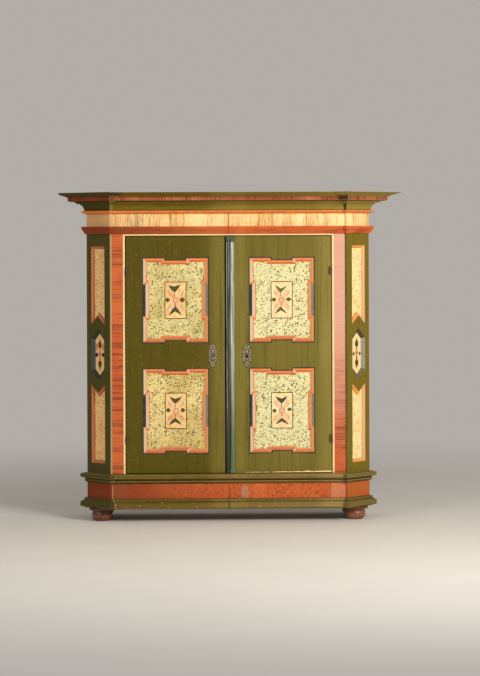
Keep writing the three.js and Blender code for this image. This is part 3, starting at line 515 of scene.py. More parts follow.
# The strip between the doors: blue-green paint with pale streaks, most of all on its right half and at hand
# height and above, with dirt in fine lines. The streaks, the paler right half and the paler upper part are
# partly wear and partly painted highlight.
def wornStrip(name):
    paint = Finish(name, strip["left"][0], 0.55, 0.3)
    start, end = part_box("astragal")
    across = paint.sum("DIVIDE", paint.sum("SUBTRACT", paint.axis("X"), start.x), end.x - start.x)
    across = paint.plus(across, paint.times(paint.noise((6, 6, 6), 2, 0.5), 0.12))
    right = paint.step(across, 0.5, 0.64)
    streaks = paint.noise((230, 230, 2.2), 3, 0.7)
    height = paint.step(paint.plus(paint.axis("Z"), paint.times(paint.noise(7, 3), 0.3)), 0.5, 1.15)
    paint.over(strip["left"][1], height)
    rightHalf = paint.blend(height, *[tint(*shade) for shade in strip["right"]])
    paint.colour = paint.blend(right, paint.colour, rightHalf)
    tall = paint.plus(paint.times(height, 0.7), 0.14)
    wide = paint.plus(paint.times(right, 0.5), 0.45)
    # Pale streaks, partly wear and partly painted highlight, strongest high up and on the right half
    paint.layer(strip["bare"], streaks, 0.5, 0.6, tall, wide)
    paint.layer(strip["dirt"], paint.noise((300, 300, 5), 3, 0.7), 0.56, 0.62, 0.75)
    capFoot = end.z - strip["capHeight"]
    paint.layer(strip["cap"], paint.axis("Z"), capFoot, capFoot + 0.004)
    paint.relief(streaks, 0.0004)
    return paint.done()


# A sunk field's outer plane: a point, the way in, and how deep its splays go
cant = math.sqrt(0.5)
doorFace = ((0, frontY, 0), (0, 1, 0), 0.0073)
leftCant = ((-noseX, noseY, 0), (cant, cant, 0), 0.015)
rightCant = ((noseX, noseY, 0), (-cant, cant, 0), 0.015)
# Heights from the case's foot and from its top of dark lines in the mouldings' creases, painted shade with
# some dirt, and their half widths
baseShadeAndDirt = ((-0.036, 0.0055), (-0.056, 0.003), (-0.155, 0.003), (-0.141, 0.002))
crownShadeAndDirt = ((0.185, 0.004), (0.133, 0.003))
baseShadeAndGrime = [(bodyBase + rise, half) for rise, half in baseShadeAndDirt]
crownShadeAndGrime = [(bodyTop + rise, half) for rise, half in crownShadeAndDirt]

# Each maker's finishes with its values, the named ones last
greens = {
    "green": ((85, 74, 10), (64, 56, 8), (142, 126, 58), "up"),
    "greenLevel": ((116, 98, 26), (82, 72, 16), (158, 140, 66), "level", {"wear": 0.66, "grime": crownShadeAndGrime}),
    "greenBase": (
        (106, 86, 28), (74, 60, 16), (146, 122, 66), "level",
        {"wear": 0.63, "grime": baseShadeAndGrime, "chipped": 0.3},
    ),
    "baseCant": ((90, 76, 22), (62, 52, 14), (118, 100, 48), "level", {"wear": 0.7, "grime": baseShadeAndGrime}),
    # A darker copy for the left, as painted shade
    "levelShade": ((78, 68, 26), (50, 48, 20), (104, 92, 48), "level", {"wear": 0.7, "chipped": 0.3}),
    # The crown corners' turned-back faces: lighter on the left, as painted light, darker on the right, as
    # painted shade
    "returnLight": ((128, 122, 62), (104, 96, 44), (160, 148, 88), "level"),
    "returnDark": ((74, 62, 22), (52, 44, 18), (92, 80, 40), "level", {"wear": 0.74}),
    "greenCant": ((100, 84, 12), (76, 64, 8), (120, 102, 32), "up", {"wear": 0.72}),
    # A darker copy for the left pilaster, as painted shade
    "greenShade": ((78, 70, 28), (54, 52, 22), (106, 96, 48), "up", {"wear": 0.73}),
    "wornGreen": ((164, 146, 88), (116, 104, 48), (186, 168, 116), "up", {"wear": 0.6}),
    # The left pilaster's nose face: rubbed, and paler as painted light
    "wornNose": ((176, 150, 104), (124, 108, 62), (190, 160, 116), "up", {"wear": 0.6}),
}
reds = {
    # The stile red has painted sheen at the top right; the band and architrave reds have painted shade on the
    # left
    "stileRed": ((192, 90, 42), (118, 50, 34), (204, 102, 50), "level", {"bleached": (214, 158, 130)}),
    "bandRed": (
        (196, 92, 40), (140, 54, 22), (210, 106, 50), "up", (46, 190), 0.9,
        {"dusky": (126, 50, 18), "blocked": True},
    ),
    "architraveRed": (
        (200, 94, 42), (146, 54, 24), (212, 112, 56), "level", (6, 60), 0.6, {"dusky": (128, 56, 24)},
    ),
    "stripRed": ((162, 80, 38), (76, 26, 14), (190, 112, 76), "up", (4, 190), 1.0),
    # A darker copy for the left, as painted shade
    "stripShade": ((124, 50, 24), (84, 32, 16), (142, 62, 32), "level", (4, 90), 0.5),
}
splays = {
    "bevelTop": (doorFace, (0, (228, 134, 74)), (0.5, (208, 104, 48))),
    "bevelFoot": (doorFace, (0, (190, 104, 52)), (0.5, (212, 124, 70))),
    # Copies by the way a splay faces: paler facing right, as painted light, another facing left, as painted
    # shade
    "bevelLit": (
        doorFace,
        (0, (204, 180, 150)), (0.45, (222, 172, 126)), (0.75, (222, 136, 80)), (0.93, (146, 88, 50)),
    ),
    "bevelDim": (doorFace, (0, (214, 144, 92)), (0.5, (212, 134, 74)), (0.85, (234, 166, 108))),
    # A darker copy for the left pilaster, as painted shade
    "cantBevelLeft": (
        leftCant,
        (0, (180, 82, 42)), (0.16, (184, 124, 86)), (0.45, (176, 100, 52)), (0.9, (96, 54, 28)),
    ),
    "cantBevelRight": (
        rightCant,
        (0, (222, 146, 86)), (0.12, (218, 172, 126)), (0.55, (206, 152, 104)), (0.8, (218, 170, 122)),
    ),
    "cantBevelEnd": (rightCant, (0, (234, 156, 84)), (0.6, (218, 132, 72))),
}
fields = {
    "field": ((230, 212, 146), (206, 184, 112), (36, 48, 20), 0.02, {"right": (230, 220, 162)}),
    "fieldDense": ((236, 210, 138), (210, 182, 108), (38, 46, 18), 0.03),
    "buffField": ((255, 210, 142), (250, 196, 122), (120, 78, 36), 0.0, 1.9),
    "creamField": ((250, 226, 160), (246, 214, 142), (104, 86, 38), -0.05, 1.8),
}
bare = {"pineUp": ("up",), "pineAcross": ("across",), "pineDusty": ("across", 0.72)}
metals = {
    "iron": ((66, 58, 50), (98, 78, 58), 0.45, 0.5),
    "tinned": ((104, 90, 64), (62, 52, 32), 0.5, 0.3, 0.8),
    # paler than the plate, as painted highlight on the chasing
    "chased": ((232, 214, 184), (156, 134, 106), 0.32, 0.35, 0.3),
}

# Brushed colours: two tones, and how fine the unevenness is where it isn't the usual
brushed = {
    # The right crown corner's turned-back strip, darker as painted shade
    "returnStrip": ((96, 54, 30), (70, 40, 22)),
    "orange": ((234, 134, 58), (214, 108, 44)),
    "cream": ((252, 218, 160), (240, 198, 134)),
    "wornCream": ((226, 190, 134), (184, 146, 92)),
    "lip": ((150, 92, 50), (112, 66, 36)),
    "lozengeBuff": ((244, 206, 142), (226, 176, 108), 140),
    "lozengeCream": ((244, 216, 154), (232, 194, 130), 140),
    # The lozenge walls by the way they face: the palest is painted light, the darkest, facing away from the
    # light, painted shade
    "slatePale": ((206, 202, 188), (142, 142, 132), 160),
    "slate": ((160, 154, 140), (108, 108, 98), 160),
    "slateDeep": ((78, 80, 80), (52, 54, 52), 110),
    "slateEnd": ((80, 74, 48), (56, 52, 30), 110),
    "slateMid": ((112, 106, 70), (78, 72, 44), 110),
    "slateDusk": ((56, 54, 36), (40, 38, 24), 110),
    "line": ((40, 38, 38), (62, 56, 50)),
    # painted reflection on the black paint of the right notch
    "notch": ((136, 124, 116), (112, 102, 90), 90),
    "frameLine": ((60, 44, 18), (44, 36, 18)),
    "tablet": ((242, 206, 138), (228, 178, 106), 24),
    "tabletPale": ((244, 222, 168), (236, 200, 138), 24),
    "leaf": ((58, 60, 34), (82, 78, 36), 180),
    "leafPale": ((116, 102, 50), (86, 76, 34), 180),
    "leafLine": ((150, 96, 58), (178, 124, 76)),
    "diamond": ((98, 82, 28), (76, 72, 34), 180),
    "petal": ((246, 208, 164), (238, 188, 140)),
    "petalDeep": ((232, 160, 112), (240, 184, 132)),
    "rosette": ((232, 178, 140), (206, 134, 98), 110),
    "brown": ((136, 66, 40), (164, 92, 58), 160),
    "bark": ((96, 62, 22), (70, 48, 20), 160),
    "scarlet": ((214, 92, 44), (226, 128, 76), 160),
    "rosy": ((206, 138, 98), (188, 106, 74), 160),
    # The right pilaster's nose face, dark as painted shade
    "nookDark": ((92, 72, 42), (120, 104, 68), 90),
    "mend": ((188, 128, 88), (160, 106, 70), 90),
}
paints = {"frieze": grainedCream("frieze", (248, 202, 130)), "foot": footVarnish("foot", (134, 68, 40))}
paints["strip"] = wornStrip("strip")
for maker, recipes in (
    (oilPaint, greens), (combedPaint, reds), (splayPaint, splays), (sprinkledField, fields), (barePine, bare),
    (oldMetal, metals), (brushedColour, brushed),
):
    for name, values in recipes.items():
        named = values[-1] if isinstance(values[-1], dict) else {}
        plain = values[:-1] if named else values
        paints[name] = maker(name, *plain, **named)
print("finishes mixed:", len(paints))


# Pieces that follow a CAD node: a copy with softened edges and a paint for each face

def nodeTriangles(node):
    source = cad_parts[node].data
    points = np.empty(len(source.vertices) * 3)
    source.vertices.foreach_get("co", points)
    source.calc_loop_triangles()
    faces = np.empty(len(source.loop_triangles) * 3, dtype=np.int64)
    source.loop_triangles.foreach_get("vertices", faces)
    return points.reshape(-1, 3), faces.reshape(-1, 3)


def faceTable(mesh):
    table = []
    for key in ("center", "normal"):
        values = np.empty(len(mesh.polygons) * 3)
        mesh.polygons.foreach_get(key, values)
        table.append(values.reshape(-1, 3))
    return table


# The angles of so many even steps round a circle
def fullTurn(count):
    return np.linspace(0, 2 * math.pi, count, endpoint=False)


# Rows of points from their coordinates, which are arrays or numbers
def pointsOf(*coordinates):
    return np.stack(np.broadcast_arrays(*coordinates), axis=-1)


def link(name, mesh):
    made = bpy.data.objects.new(name, mesh)
    bpy.context.scene.collection.objects.link(made)
    return made


def applyModifiers(piece):
    bpy.context.view_layer.update()
    graph = bpy.context.evaluated_depsgraph_get()
    shown = piece.evaluated_get(graph)
    finished = bpy.data.meshes.new_from_object(shown, preserve_all_data_layers=True, depsgraph=graph)
    piece.modifiers.clear()
    piece.data = finished


# Saws off what lies beyond a plane, and closes the cut
def sawOff(shape, point, direction):
    everything = shape.verts[:] + shape.edges[:] + shape.faces[:]
    bmesh.ops.bisect_plane(
        shape, geom=everything, plane_co=point, plane_no=direction, clear_outer=True, dist=1e-5
    )
    openEdges = [edge for edge in shape.edges if len(edge.link_faces) == 1]
    if openEdges:
        bmesh.ops.holes_fill(shape, edges=openEdges, sides=0)


flat = {"weld": 2e-5, "dissolve": math.radians(0.5), "sharp": math.radians(55)}
curved = 26  # a crease that leaves the facets of a moulding or of a round iron as they are
skin = 0.0005  # a face that lies nearer than this to a plane counts as in it


# The node's triangles become clean faces, the faces get their paints, and then the edges sharper than the
# crease, in degrees, are rounded. Each of the cuts is a plane, and what lies beyond it is sawn off.
def dress(node, body, finishes, chooser, radius, crease=10, edge=None, cuts=()):
    points, faces = nodeTriangles(node)
    mesh = bpy.data.meshes.new(node + "_look")
    mesh.from_pydata(points.tolist(), [], faces.tolist())
    shape = bmesh.new()
    shape.from_mesh(mesh)
    bmesh.ops.remove_doubles(shape, verts=shape.verts, dist=flat["weld"])
    for point, direction in cuts:
        sawOff(shape, point, direction)
    bmesh.ops.dissolve_limit(shape, angle_limit=flat["dissolve"], verts=shape.verts, edges=shape.edges)
    shape.to_mesh(mesh)
    shape.free()
    for key in finishes:
        mesh.materials.append(paints[key])
    mesh.polygons.foreach_set("material_index", chooser(*faceTable(mesh)).astype(np.int32))
    piece = link(node + "_look", mesh)
    rounding = piece.modifiers.new("rounding", "BEVEL")
    rounding.width = radius
    rounding.segments = 2
    rounding.limit_method = "ANGLE"
    rounding.angle_limit = math.radians(crease)
    rounding.use_clamp_overlap = True
    if edge is not None:
        rounding.material = edge
    applyModifiers(piece)
    piece.data.shade_smooth()
    piece.data.set_sharp_from_angle(angle=flat["sharp"])
    piece.modifiers.new("flats", "WEIGHTED_NORMAL").keep_sharp = True
    applyModifiers(piece)
    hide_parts(node)
    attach(piece, body)


# Faces on the outside of the body's plan, but for its back
def shows(centres, normals):
    x, y = np.abs(centres[:, 0]), centres[:, 1]
    beyondCant = ((x - noseX) - (y - noseY)) * cant
    outside = np.maximum(np.maximum(frontY - y, beyondCant), x - halfWidth)
    return (outside > -0.0006) & ~((normals[:, 1] > 0.9) & (y > backY - 0.001))


# The choosers give each face the number of its finish, from the face's middle and direction
def allOne(centres, normals):
    return np.zeros(len(centres))


def shownChooser(centres, normals):
    return np.where(shows(centres, normals), 0, 1)


# Where a ring's finishes change. In the crown the places are measured down from its top.
bands = {
    "crownTop": bodyTop + 0.233,
    "strip": (0.0235, 0.046),
    "bead": 0.101,
    "hollow": 0.0395,
    "flatTop": 0.05,
    "architraveTop": bodyTop + 0.0425,
    "redFoot": bodyBase - 0.1405,
}


# Crown: green with a red strip and an orange bead; its inside and its top are bare. The faces at each
# corner that turn back towards the middle get copies of their own: darker at the right, as painted
# shade, and lighter green at the left, as painted light.
def crownChooser(centres, normals):
    down, (start, end) = bands["crownTop"] - centres[:, 2], bands["strip"]
    onStrip = (down < end) & (down > start) & (np.abs(normals[:, 2]) < 0.2)
    outward = normals[:, 0] * np.sign(centres[:, 0])
    turned = outward < -0.3
    index = np.zeros(len(down))
    index[turned] = 5
    index[onStrip] = 1
    index[onStrip & turned] = 6
    index[down > bands["bead"]] = 2
    inner = (down < bands["hollow"]) & ((normals[:, 1] > 0.3) | (turned & (normals[:, 1] > -0.1)))
    top = (normals[:, 2] > 0.9) & (down < bands["flatTop"])
    index[~shows(centres, normals) | inner | top] = 3
    return index


def friezeChooser(centres, normals):
    return np.where(shows(centres, normals), np.where(centres[:, 2] > bands["architraveTop"], 0, 1), 2)


def plinthChooser(centres, normals):
    shown = shows(centres, normals) & (normals[:, 2] >= -0.95)
    return np.where(shown, np.where(centres[:, 2] > bands["redFoot"], 0, 1), 2)


# The crown's left edge has lost its thin lip, and the joints in the middle and at the right have opened
damage = {"leftTip": 0.958, "leftSlant": 0.06, "openMitre": 0.0024, "openMiddle": 0.0011, "lean": 0.12}


def ringCuts(node):
    if node in ("left_crown_side", "left_crown_corner"):
        return [((-damage["leftTip"], backY, bodyTop + 0.2), (-1, 0, damage["leftSlant"]))]
    if node.startswith("right") and node.endswith("corner"):
        return [((nook + damage["openMitre"], frontY, 0), (-1, math.tan(math.pi / 8), 0))]
    for end, sign in (("front_left", 1), ("front_right", -1)):
        if node.endswith(end):
            return [((-sign * damage["openMiddle"], frontY, 0), (sign, -sign * damage["lean"], 0))]
    return []


# What each ring is painted with: a slot, a chooser, the finish of the rounded edges, and the finishes
rings = {
    "crown": (
        "green_paint", crownChooser, 4,
        ["greenLevel", "stripRed", "orange", "pineDusty", "wornGreen", "returnDark", "returnStrip"],
    ),
    "frieze": ("cream_paint", friezeChooser, None, ["frieze", "architraveRed", "pineAcross", "wornCream"]),
    "waist": ("green_paint", shownChooser, 2, ["greenBase", "pineAcross", "wornGreen"]),
    "plinth": ("red_paint", plinthChooser, None, ["bandRed", "greenBase", "pineAcross", "wornGreen"]),
}
# The finishes that each side swaps in. On the left they are darker copies, as painted shade, and the left
# corner's turned-back faces get a lighter copy, as painted light.
sideFinishes = {
    "left": {
        "greenLevel": "levelShade", "greenBase": "levelShade", "stripRed": "stripShade",
        "returnDark": "returnLight", "returnStrip": "stripRed",
    },
    "right": {"greenBase": "baseCant"},
}


def dressRings():
    for ring, (slot, chooser, edge, finishes) in rings.items():
        split = ring in ("frieze", "plinth")
        fronts = [f"{ring}_front_{side}" for side in hands] if split else [ring + "_front"]
        turned = [f"{side}_{ring}_{part}" for part in ("corner", "side") for side in hands]
        for node in fronts + turned:
            swaps = sideFinishes.get(node.split("_")[0], {})
            own = [swaps.get(key, key) for key in finishes]
            dress(node, "carcase", own, chooser, 0.0009, curved, edge, ringCuts(node))
    print("rings dressed")


# Pilasters: green face, orange splays round the sprinkled fields, grey and black splays at the lozenge.
# The left pilaster's green and orange splays are darker copies, as painted shade. The lozenge's walls are
# paler or darker by the way they face, as painted light and shade. The narrow face at the left nose is a
# pale copy, rubbed and also painted light, and at the right nose a dark one, as painted shade.
pilaster = {
    "lozengeHalf": 0.148,
    "floor": (0.0145, 0.016),
    "splay": (0.04, 0.162),  # across the cut corner
    "middle": 0.1,
    "finishes": {
        "left": [
            "greenShade", "cantBevelLeft", "slateEnd", "buffField", "lozengeBuff", "wornNose", "pineUp",
            "slateDusk", "cantBevelLeft", "slateDeep", "slateDusk",
        ],
        "right": [
            "greenCant", "cantBevelRight", "slatePale", "creamField", "lozengeCream", "nookDark", "pineUp",
            "slateEnd", "cantBevelEnd", "slate", "slateMid",
        ],
    },
}


def pilasterChooser(centres, normals):
    x, y = np.abs(centres[:, 0]) - noseX, centres[:, 1] - noseY
    along, deep = (x + y) * cant, (y - x) * cant
    facing = (normals[:, 1] - np.sign(centres[:, 0]) * normals[:, 0]) * cant
    atLozenge = np.abs(centres[:, 2] - lozengeZ) < pilaster["lozengeHalf"]
    (low, high), (start, end) = pilaster["floor"], pilaster["splay"]
    ground = (deep > low) & (deep < high) & (facing < -0.9)
    sloped = (deep > skin) & (deep < low) & (along > start) & (along < end) & (facing < -0.1)
    slope, near = normals[:, 2], along < pilaster["middle"]
    index = np.full(len(x), 6)
    index[(deep < skin) & (facing < -0.9)] = 0
    index[along < skin] = 5
    index[sloped & ~atLozenge] = 1
    index[sloped & ~atLozenge & (np.abs(slope) > 0.3)] = 8
    index[sloped & atLozenge & near] = 2
    index[sloped & atLozenge & ~near] = 9
    index[sloped & atLozenge & (slope < -0.3)] = 7
    index[sloped & atLozenge & (slope > 0.3)] = 10
    index[ground & ~atLozenge] = 3
    index[ground & atLozenge] = 4
    return index


opening = {"bead": 0.0105, "beadEdge": 0.0108, "beadDepth": 0.018, "railDepth": 0.012}


# Stiles: red, with a cream bead along the opening
def stileChooser(centres, normals):
    inward, deep = np.abs(centres[:, 0]) - openingHalf, centres[:, 1] - frontY
    index = np.full(len(deep), 2)
    index[(deep < skin) & (inward > opening["bead"])] = 0
    index[(deep < skin) & (inward < opening["beadEdge"])] = 1
    index[(inward < skin) & (deep < opening["beadDepth"])] = 1
    return index


def railChooser(centres, normals):
    return np.where(centres[:, 1] < frontY + opening["railDepth"], 0, 1)


def dressCase():
    stile, board = ["stileRed", "cream", "pineUp"], ["green", "pineUp", "wornGreen"]
    for side, slot in zip(hands, ("dark_green_paint", "green_paint")):
        dress(side + "_pilaster", "carcase", pilaster["finishes"][side], pilasterChooser, 0.0012)
    for side in hands:
        dress(side + "_stile", "carcase", stile, stileChooser, 0.0006, curved)
    for side in hands:
        dress(side + "_side_board", "carcase", board, shownChooser, 0.0015, 10, 2)
    dress("head_rail", "carcase", ["cream", "pineAcross"], railChooser, 0.0006, curved)
    shelves = {"floor_board": "pineAcross", "dust_board": "pineDusty", "hat_shelf": "pineAcross"}
    for node, finish in shelves.items():
        dress(node, "carcase", [finish], allOne, 0.0015)
    print("case dressed")


doorDepths = {"lip": (0.006, 0.0095), "rebate": (0.012, 0.014)}


# Doors: green face, orange splays, brown lip, bare back. The splays get copies of the orange by the way
# they face, as painted light and shade: a paler one where they face right, towards the light, and another
# where they face left, away from it.
def doorChooser(centres, normals):
    deep = centres[:, 1] - frontY
    sloped = (normals[:, 1] < -0.5) & (deep > skin)
    index = np.full(len(deep), 4)
    (lipFront, lipRear), (rebateFront, rebateRear) = doorDepths["lip"], doorDepths["rebate"]
    index[(normals[:, 1] > -0.5) & (deep > rebateFront) & (deep < rebateRear)] = 0
    index[(deep < skin) & (normals[:, 1] < -0.9)] = 0
    index[(deep > lipFront) & (deep < lipRear) & ~sloped] = 3
    index[sloped & (normals[:, 2] < 0)] = 1
    index[sloped & (normals[:, 2] >= 0)] = 6
    index[sloped & (normals[:, 0] > 0.2)] = 2
    index[sloped & (normals[:, 0] < -0.2)] = 5
    return index


def panelChooser(centres, normals):
    return np.where(normals[:, 1] < -0.9, 0, 1)


def dressDoors():
    door = ["green", "bevelTop", "bevelLit", "lip", "pineUp", "bevelDim", "bevelFoot"]
    for side in hands:
        body = side + "_door"
        dress(side + "_door_frame", body, door, doorChooser, 0.0007)
        for level in levels:
            panel = ["fieldDense" if (side, level) == ("left", "lower") else "field", "pineUp"]
            dress(f"{side}_{level}_panel", body, panel, panelChooser, 0.0004)
            for half, rider in (("door", body), ("pin", "carcase")):
                node = f"{side}_{level}_hinge_{half}_half"
                dress(node, rider, ["iron"], allOne, 0.0003, curved)
        dress(side + "_escutcheon", body, ["tinned"], allOne, 0.0005, curved)
    dress("astragal", "right_door", ["strip"], allOne, 0.0008, curved)
    dress("lock_case", "right_door", ["iron"], allOne, 0.0008)
    dress("lock_bolt", "lock_bolt", ["tinned"], allOne, 0.0006)
    for level in levels:
        dress(level + "_bolt", level + "_bolt", ["iron"], allOne, 0.0004, curved)
        dress(level + "_bolt_plate", "left_door", ["iron"], allOne, 0.0003, curved)
    print("doors dressed")


dressRings()
dressCase()
dressDoors()


# New surfaces

# A mesh from a grid of points, joined to itself along its columns
def gridMesh(name, grid, capped=False):
    rows, columns = grid.shape[:2]
    numbers = np.arange(rows * columns).reshape(rows, columns)
    beside = np.roll(numbers, -1, axis=1)
    quads = np.stack([numbers[:-1], beside[:-1], beside[1:], numbers[1:]], axis=-1).reshape(-1, 4).tolist()
    if capped:
        quads.append(numbers[0][::-1].tolist())
        quads.append(numbers[-1].tolist())
    mesh = bpy.data.meshes.new(name)
    mesh.from_pydata(grid.reshape(-1, 3).tolist(), [], quads)
    return mesh


# Welded, faced outwards and smooth, but for the edges that are sharper than 40 degrees where crisp
def cleaned(mesh, crisp=True):
    shape = bmesh.new()
    shape.from_mesh(mesh)
    bmesh.ops.remove_doubles(shape, verts=shape.verts, dist=1e-6)
    bmesh.ops.recalc_face_normals(shape, faces=shape.faces)
    shape.to_mesh(mesh)
    shape.free()
    mesh.shade_smooth()
    if crisp:
        mesh.set_sharp_from_angle(angle=math.radians(40))
    return mesh


def joinedMesh(name, meshes):
    shape = bmesh.new()
    for part in meshes:
        shape.from_mesh(part)
        bpy.data.meshes.remove(part)
    mesh = bpy.data.meshes.new(name)
    shape.to_mesh(mesh)
    shape.free()
    return mesh


def place(name, mesh, finish, slot, body, replaced=()):
    mesh.materials.clear()
    mesh.materials.append(paints[finish])
    piece = link(name, mesh)
    if replaced:
        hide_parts(*replaced)
    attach(piece, body)


# A turning: radius over height is a quarter ellipse up to the bun's widest, another in to the neck, one out
# to the collar, and a rounded collar, less a dip at each scribed line; it is spun about the foot's own axis.
def turnFoot(side, end):
    node = f"{end}_{side}_foot"
    corner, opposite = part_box(node)
    centre = (corner + opposite) / 2
    turns = np.linspace(0, math.pi / 2, 26)
    rise, run = np.sin(turns), 1 - np.cos(turns)
    bun, widest, neck, neckHeight = foot["bun"], foot["widest"], foot["neck"], foot["neckHeight"]
    collar, collarLow, height = foot["collar"], foot["collarLow"], foot["height"]
    rim = np.linspace(0, 1, 7)[1:]
    z = np.concatenate([
        widest * (1 - rise[::-1]),
        widest + (neckHeight - widest) * rise[1:],
        neckHeight + (collarLow - neckHeight) * rise[1:],
        collarLow + (height - collarLow) * rim,
    ])
    radius = np.concatenate([
        bun - (bun - foot["flat"]) * run[::-1],
        bun - (bun - neck) * run[1:],
        neck + (collar - neck) * run[1:],
        collar + foot["collarSwell"] * np.sin(math.pi * rim),
    ])
    for line in foot["grooves"]:
        radius = radius - foot["grooveDepth"] * np.exp(-(((z - line) / foot["grooveWidth"]) ** 2))
    pole = [foot["pole"]]
    ringRadii = np.concatenate([pole, radius, pole])[:, None]
    heights = np.concatenate([[0.0], z, [height]])[:, None]
    angle = fullTurn(72)
    wobble = 1 + 0.004 * np.sin(2 * angle + centre.x * 9)
    x = centre.x + ringRadii * np.cos(angle) * wobble
    y = centre.y + ringRadii * np.sin(angle) * wobble
    mesh = cleaned(gridMesh("turnedFoot", pointsOf(x, y, heights), True))
    place(node + "_look", mesh, "foot", "dark_brown_paint", "carcase", [node])


for side in hands:
    for end in ("front", "rear"):
        turnFoot(side, end)
print("feet turned")


back = {"boards": 8, "uneven": 0.35, "joint": 0.0008, "chamfer": 0.003}


# Upright boards of uneven width: each is a rectangle with chamfered long edges, carried up the case
def boardTheBack():
    low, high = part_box("back")
    random = np.random.default_rng(5)
    widths = 1 + back["uneven"] * (random.random(back["boards"]) - 0.5)
    edges = low.x + (high.x - low.x) * np.concatenate([[0], np.cumsum(widths) / widths.sum()])
    chamfer, gap = back["chamfer"], back["joint"] / 2
    heights = np.linspace(low.z, high.z, 12)
    for i, (x0, x1) in enumerate(zip(edges[:-1] + gap, edges[1:] - gap)):
        outline = np.array([
            [x0, low.y], [x1, low.y], [x1, high.y - chamfer], [x1 - chamfer, high.y],
            [x0 + chamfer, high.y], [x0, high.y - chamfer],
        ])
        grid = pointsOf(outline[:, 0], outline[:, 1], heights[:, None])
        mesh = cleaned(gridMesh("backBoard", grid, True), False)
        mesh.shade_flat()
        place(f"back_board_{i + 1}", mesh, "pineUp", "raw_softwood", "carcase", ["back"])


boardTheBack()
print("back boarded")


paintSink = 0.0003  # how far a painted layer reaches into its ground
layerProud = 0.00012  # how far each layer of ornament stands over the one under it
millimetre = 0.001
nails = {
    "head": 0.0038,
    "proud": 0.0011,
    "screw": 0.0032,
    "screwProud": 0.0009,
    "lockScrew": 0.00384,
    "domeShares": (0, 0.45, 0.8, 1, 1),
    "inset": 0.035,  # from the back's edge to its outer nails
    "rowInsets": (0.16, 0.01, 0.012),  # above the foot, above the shelf's foot and below the top
    "sunk": 0.0011,
    "plateInset": (0.005, 0.009),
    "plateThick": 0.002,
    "lockInset": (0.012, 0.012),
}


# Round heads on a flat face: each is a dome whose height falls as one less the radius squared. The places
# are the rows of an array, and the heads face along Y.
def domes(name, places, radius, proud):
    share = np.array(nails["domeShares"], float)
    height = proud * (1 - share**2)
    height[-1] = -paintSink
    angle = fullTurn(14)
    x = radius * share[:, None] * np.cos(angle)
    z = radius * share[:, None] * np.sin(angle)
    dome = pointsOf(x, height[:, None], z)
    heads = [cleaned(gridMesh(name, dome + spot), False) for spot in np.asarray(places, float)]
    return joinedMesh(name, heads)


# The four corners of a box's face, inset across and up
def insetCorners(low, high, y, across, up):
    return [(x, y, z) for x in (low.x + across, high.x - across) for z in (low.z + up, high.z - up)]


def driveNails():
    low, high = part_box("back")
    across = np.linspace(low.x + nails["inset"], high.x - nails["inset"], 16) + wander(16, 0.004, 3)
    lowest, shelf, top = nails["rowInsets"]
    rows = [low.z + lowest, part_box("hat_shelf")[0].z + shelf, high.z - top]
    places = [(x, high.y - nails["sunk"], z + 0.003 * math.sin(40 * x)) for z in rows for x in across]
    mesh = domes("backNails", places, nails["head"], nails["proud"])
    place("back_nails", mesh, "iron", "dark_iron", "carcase")
    for level in levels:
        low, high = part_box(level + "_bolt_plate")
        heads = insetCorners(low, high, low.y + nails["plateThick"], *nails["plateInset"])
        mesh = domes("plateScrews", heads, nails["screw"], nails["screwProud"])
        place(level + "_bolt_screws", mesh, "tinned", "dark_iron", "left_door")
    low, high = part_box("lock_case")
    heads = insetCorners(low, high, high.y, *nails["lockInset"])
    mesh = domes("lockScrews", heads, nails["lockScrew"], nails["screwProud"])
    place("lock_screws", mesh, "tinned", "dark_iron", "right_door")


# Painted decoration on the doors. Places are from a panel's middle, across and up, in metres.
eared = {
    "earDepth": 0.013,
    "earWidthShare": 0.343,
    "earHeightShare": 0.377,
    "line": 0.0062,
    "wander": 0.0006,
    "proud": 0.0003,
    "clear": 0.0003,  # between the panel's edge and the line
    "notchOver": 0.001,
    "notchIn": 0.0012,
    "notchProud": 0.00048,
}
tablet = {
    "halfWidth": 0.0615,
    "halfHeight": {"upper": 0.105, "lower": 0.102},
    "line": 0.0042,
    "wander": 0.00035,
    "proud": 0.0004,
}
paintStep = 0.006  # between the points of a painted edge


# Polylines with as many corners as each other, each with points at about even steps and as many of them
def evenly(step, *lines):
    lines = [np.asarray(line, float) for line in lines]
    lengths = np.max([np.linalg.norm(np.diff(line, axis=0), axis=1) for line in lines], axis=0)
    counts = np.maximum(1, np.round(lengths / step).astype(int))
    return [
        np.concatenate([
            start + (end - start) * np.linspace(0, 1, count, endpoint=False)[:, None]
            for start, end, count in zip(line, line[1:], counts)
        ])
        for line in lines
    ]


# A number that only this panel has, to draw its random values by
def panelSeed(side, level):
    return 20 + 2 * (side == "right") + (level == "upper")


# The middle of a node across and up
def middleOf(node):
    low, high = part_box(node)
    return np.array([(low.x + high.x) / 2, (low.z + high.z) / 2])


# A slow wander, so that a painted edge looks drawn by hand: a sum of sine waves whose strength falls as the
# root of their number
def wander(count, size, seed):
    random = np.random.default_rng(seed)
    phase = fullTurn(count)
    waves = np.arange(3, 40)
    strength = random.normal(size=len(waves)) / np.sqrt(waves)
    shift = random.random(len(waves)) * 2 * math.pi
    return size * (strength[:, None] * np.sin(waves[:, None] * phase + shift[:, None])).sum(0)


# An outline of places across and up, stood up at a place along Y
def stood(outline, y):
    return pointsOf(outline[:, 0], y, outline[:, 1])


# A closed painted band between two closed outlines in the same order. Across the band its section is a
# flat rectangle with its front face proud of the ground.
def paintedBand(name, inner, outer, y, proud):
    front, rear = y - proud, y + paintSink
    section = [stood(inner, rear), stood(inner, front), stood(outer, front), stood(outer, rear)]
    grid = np.stack(section, axis=1)
    return cleaned(gridMesh(name, np.concatenate([grid, grid[:1]])))


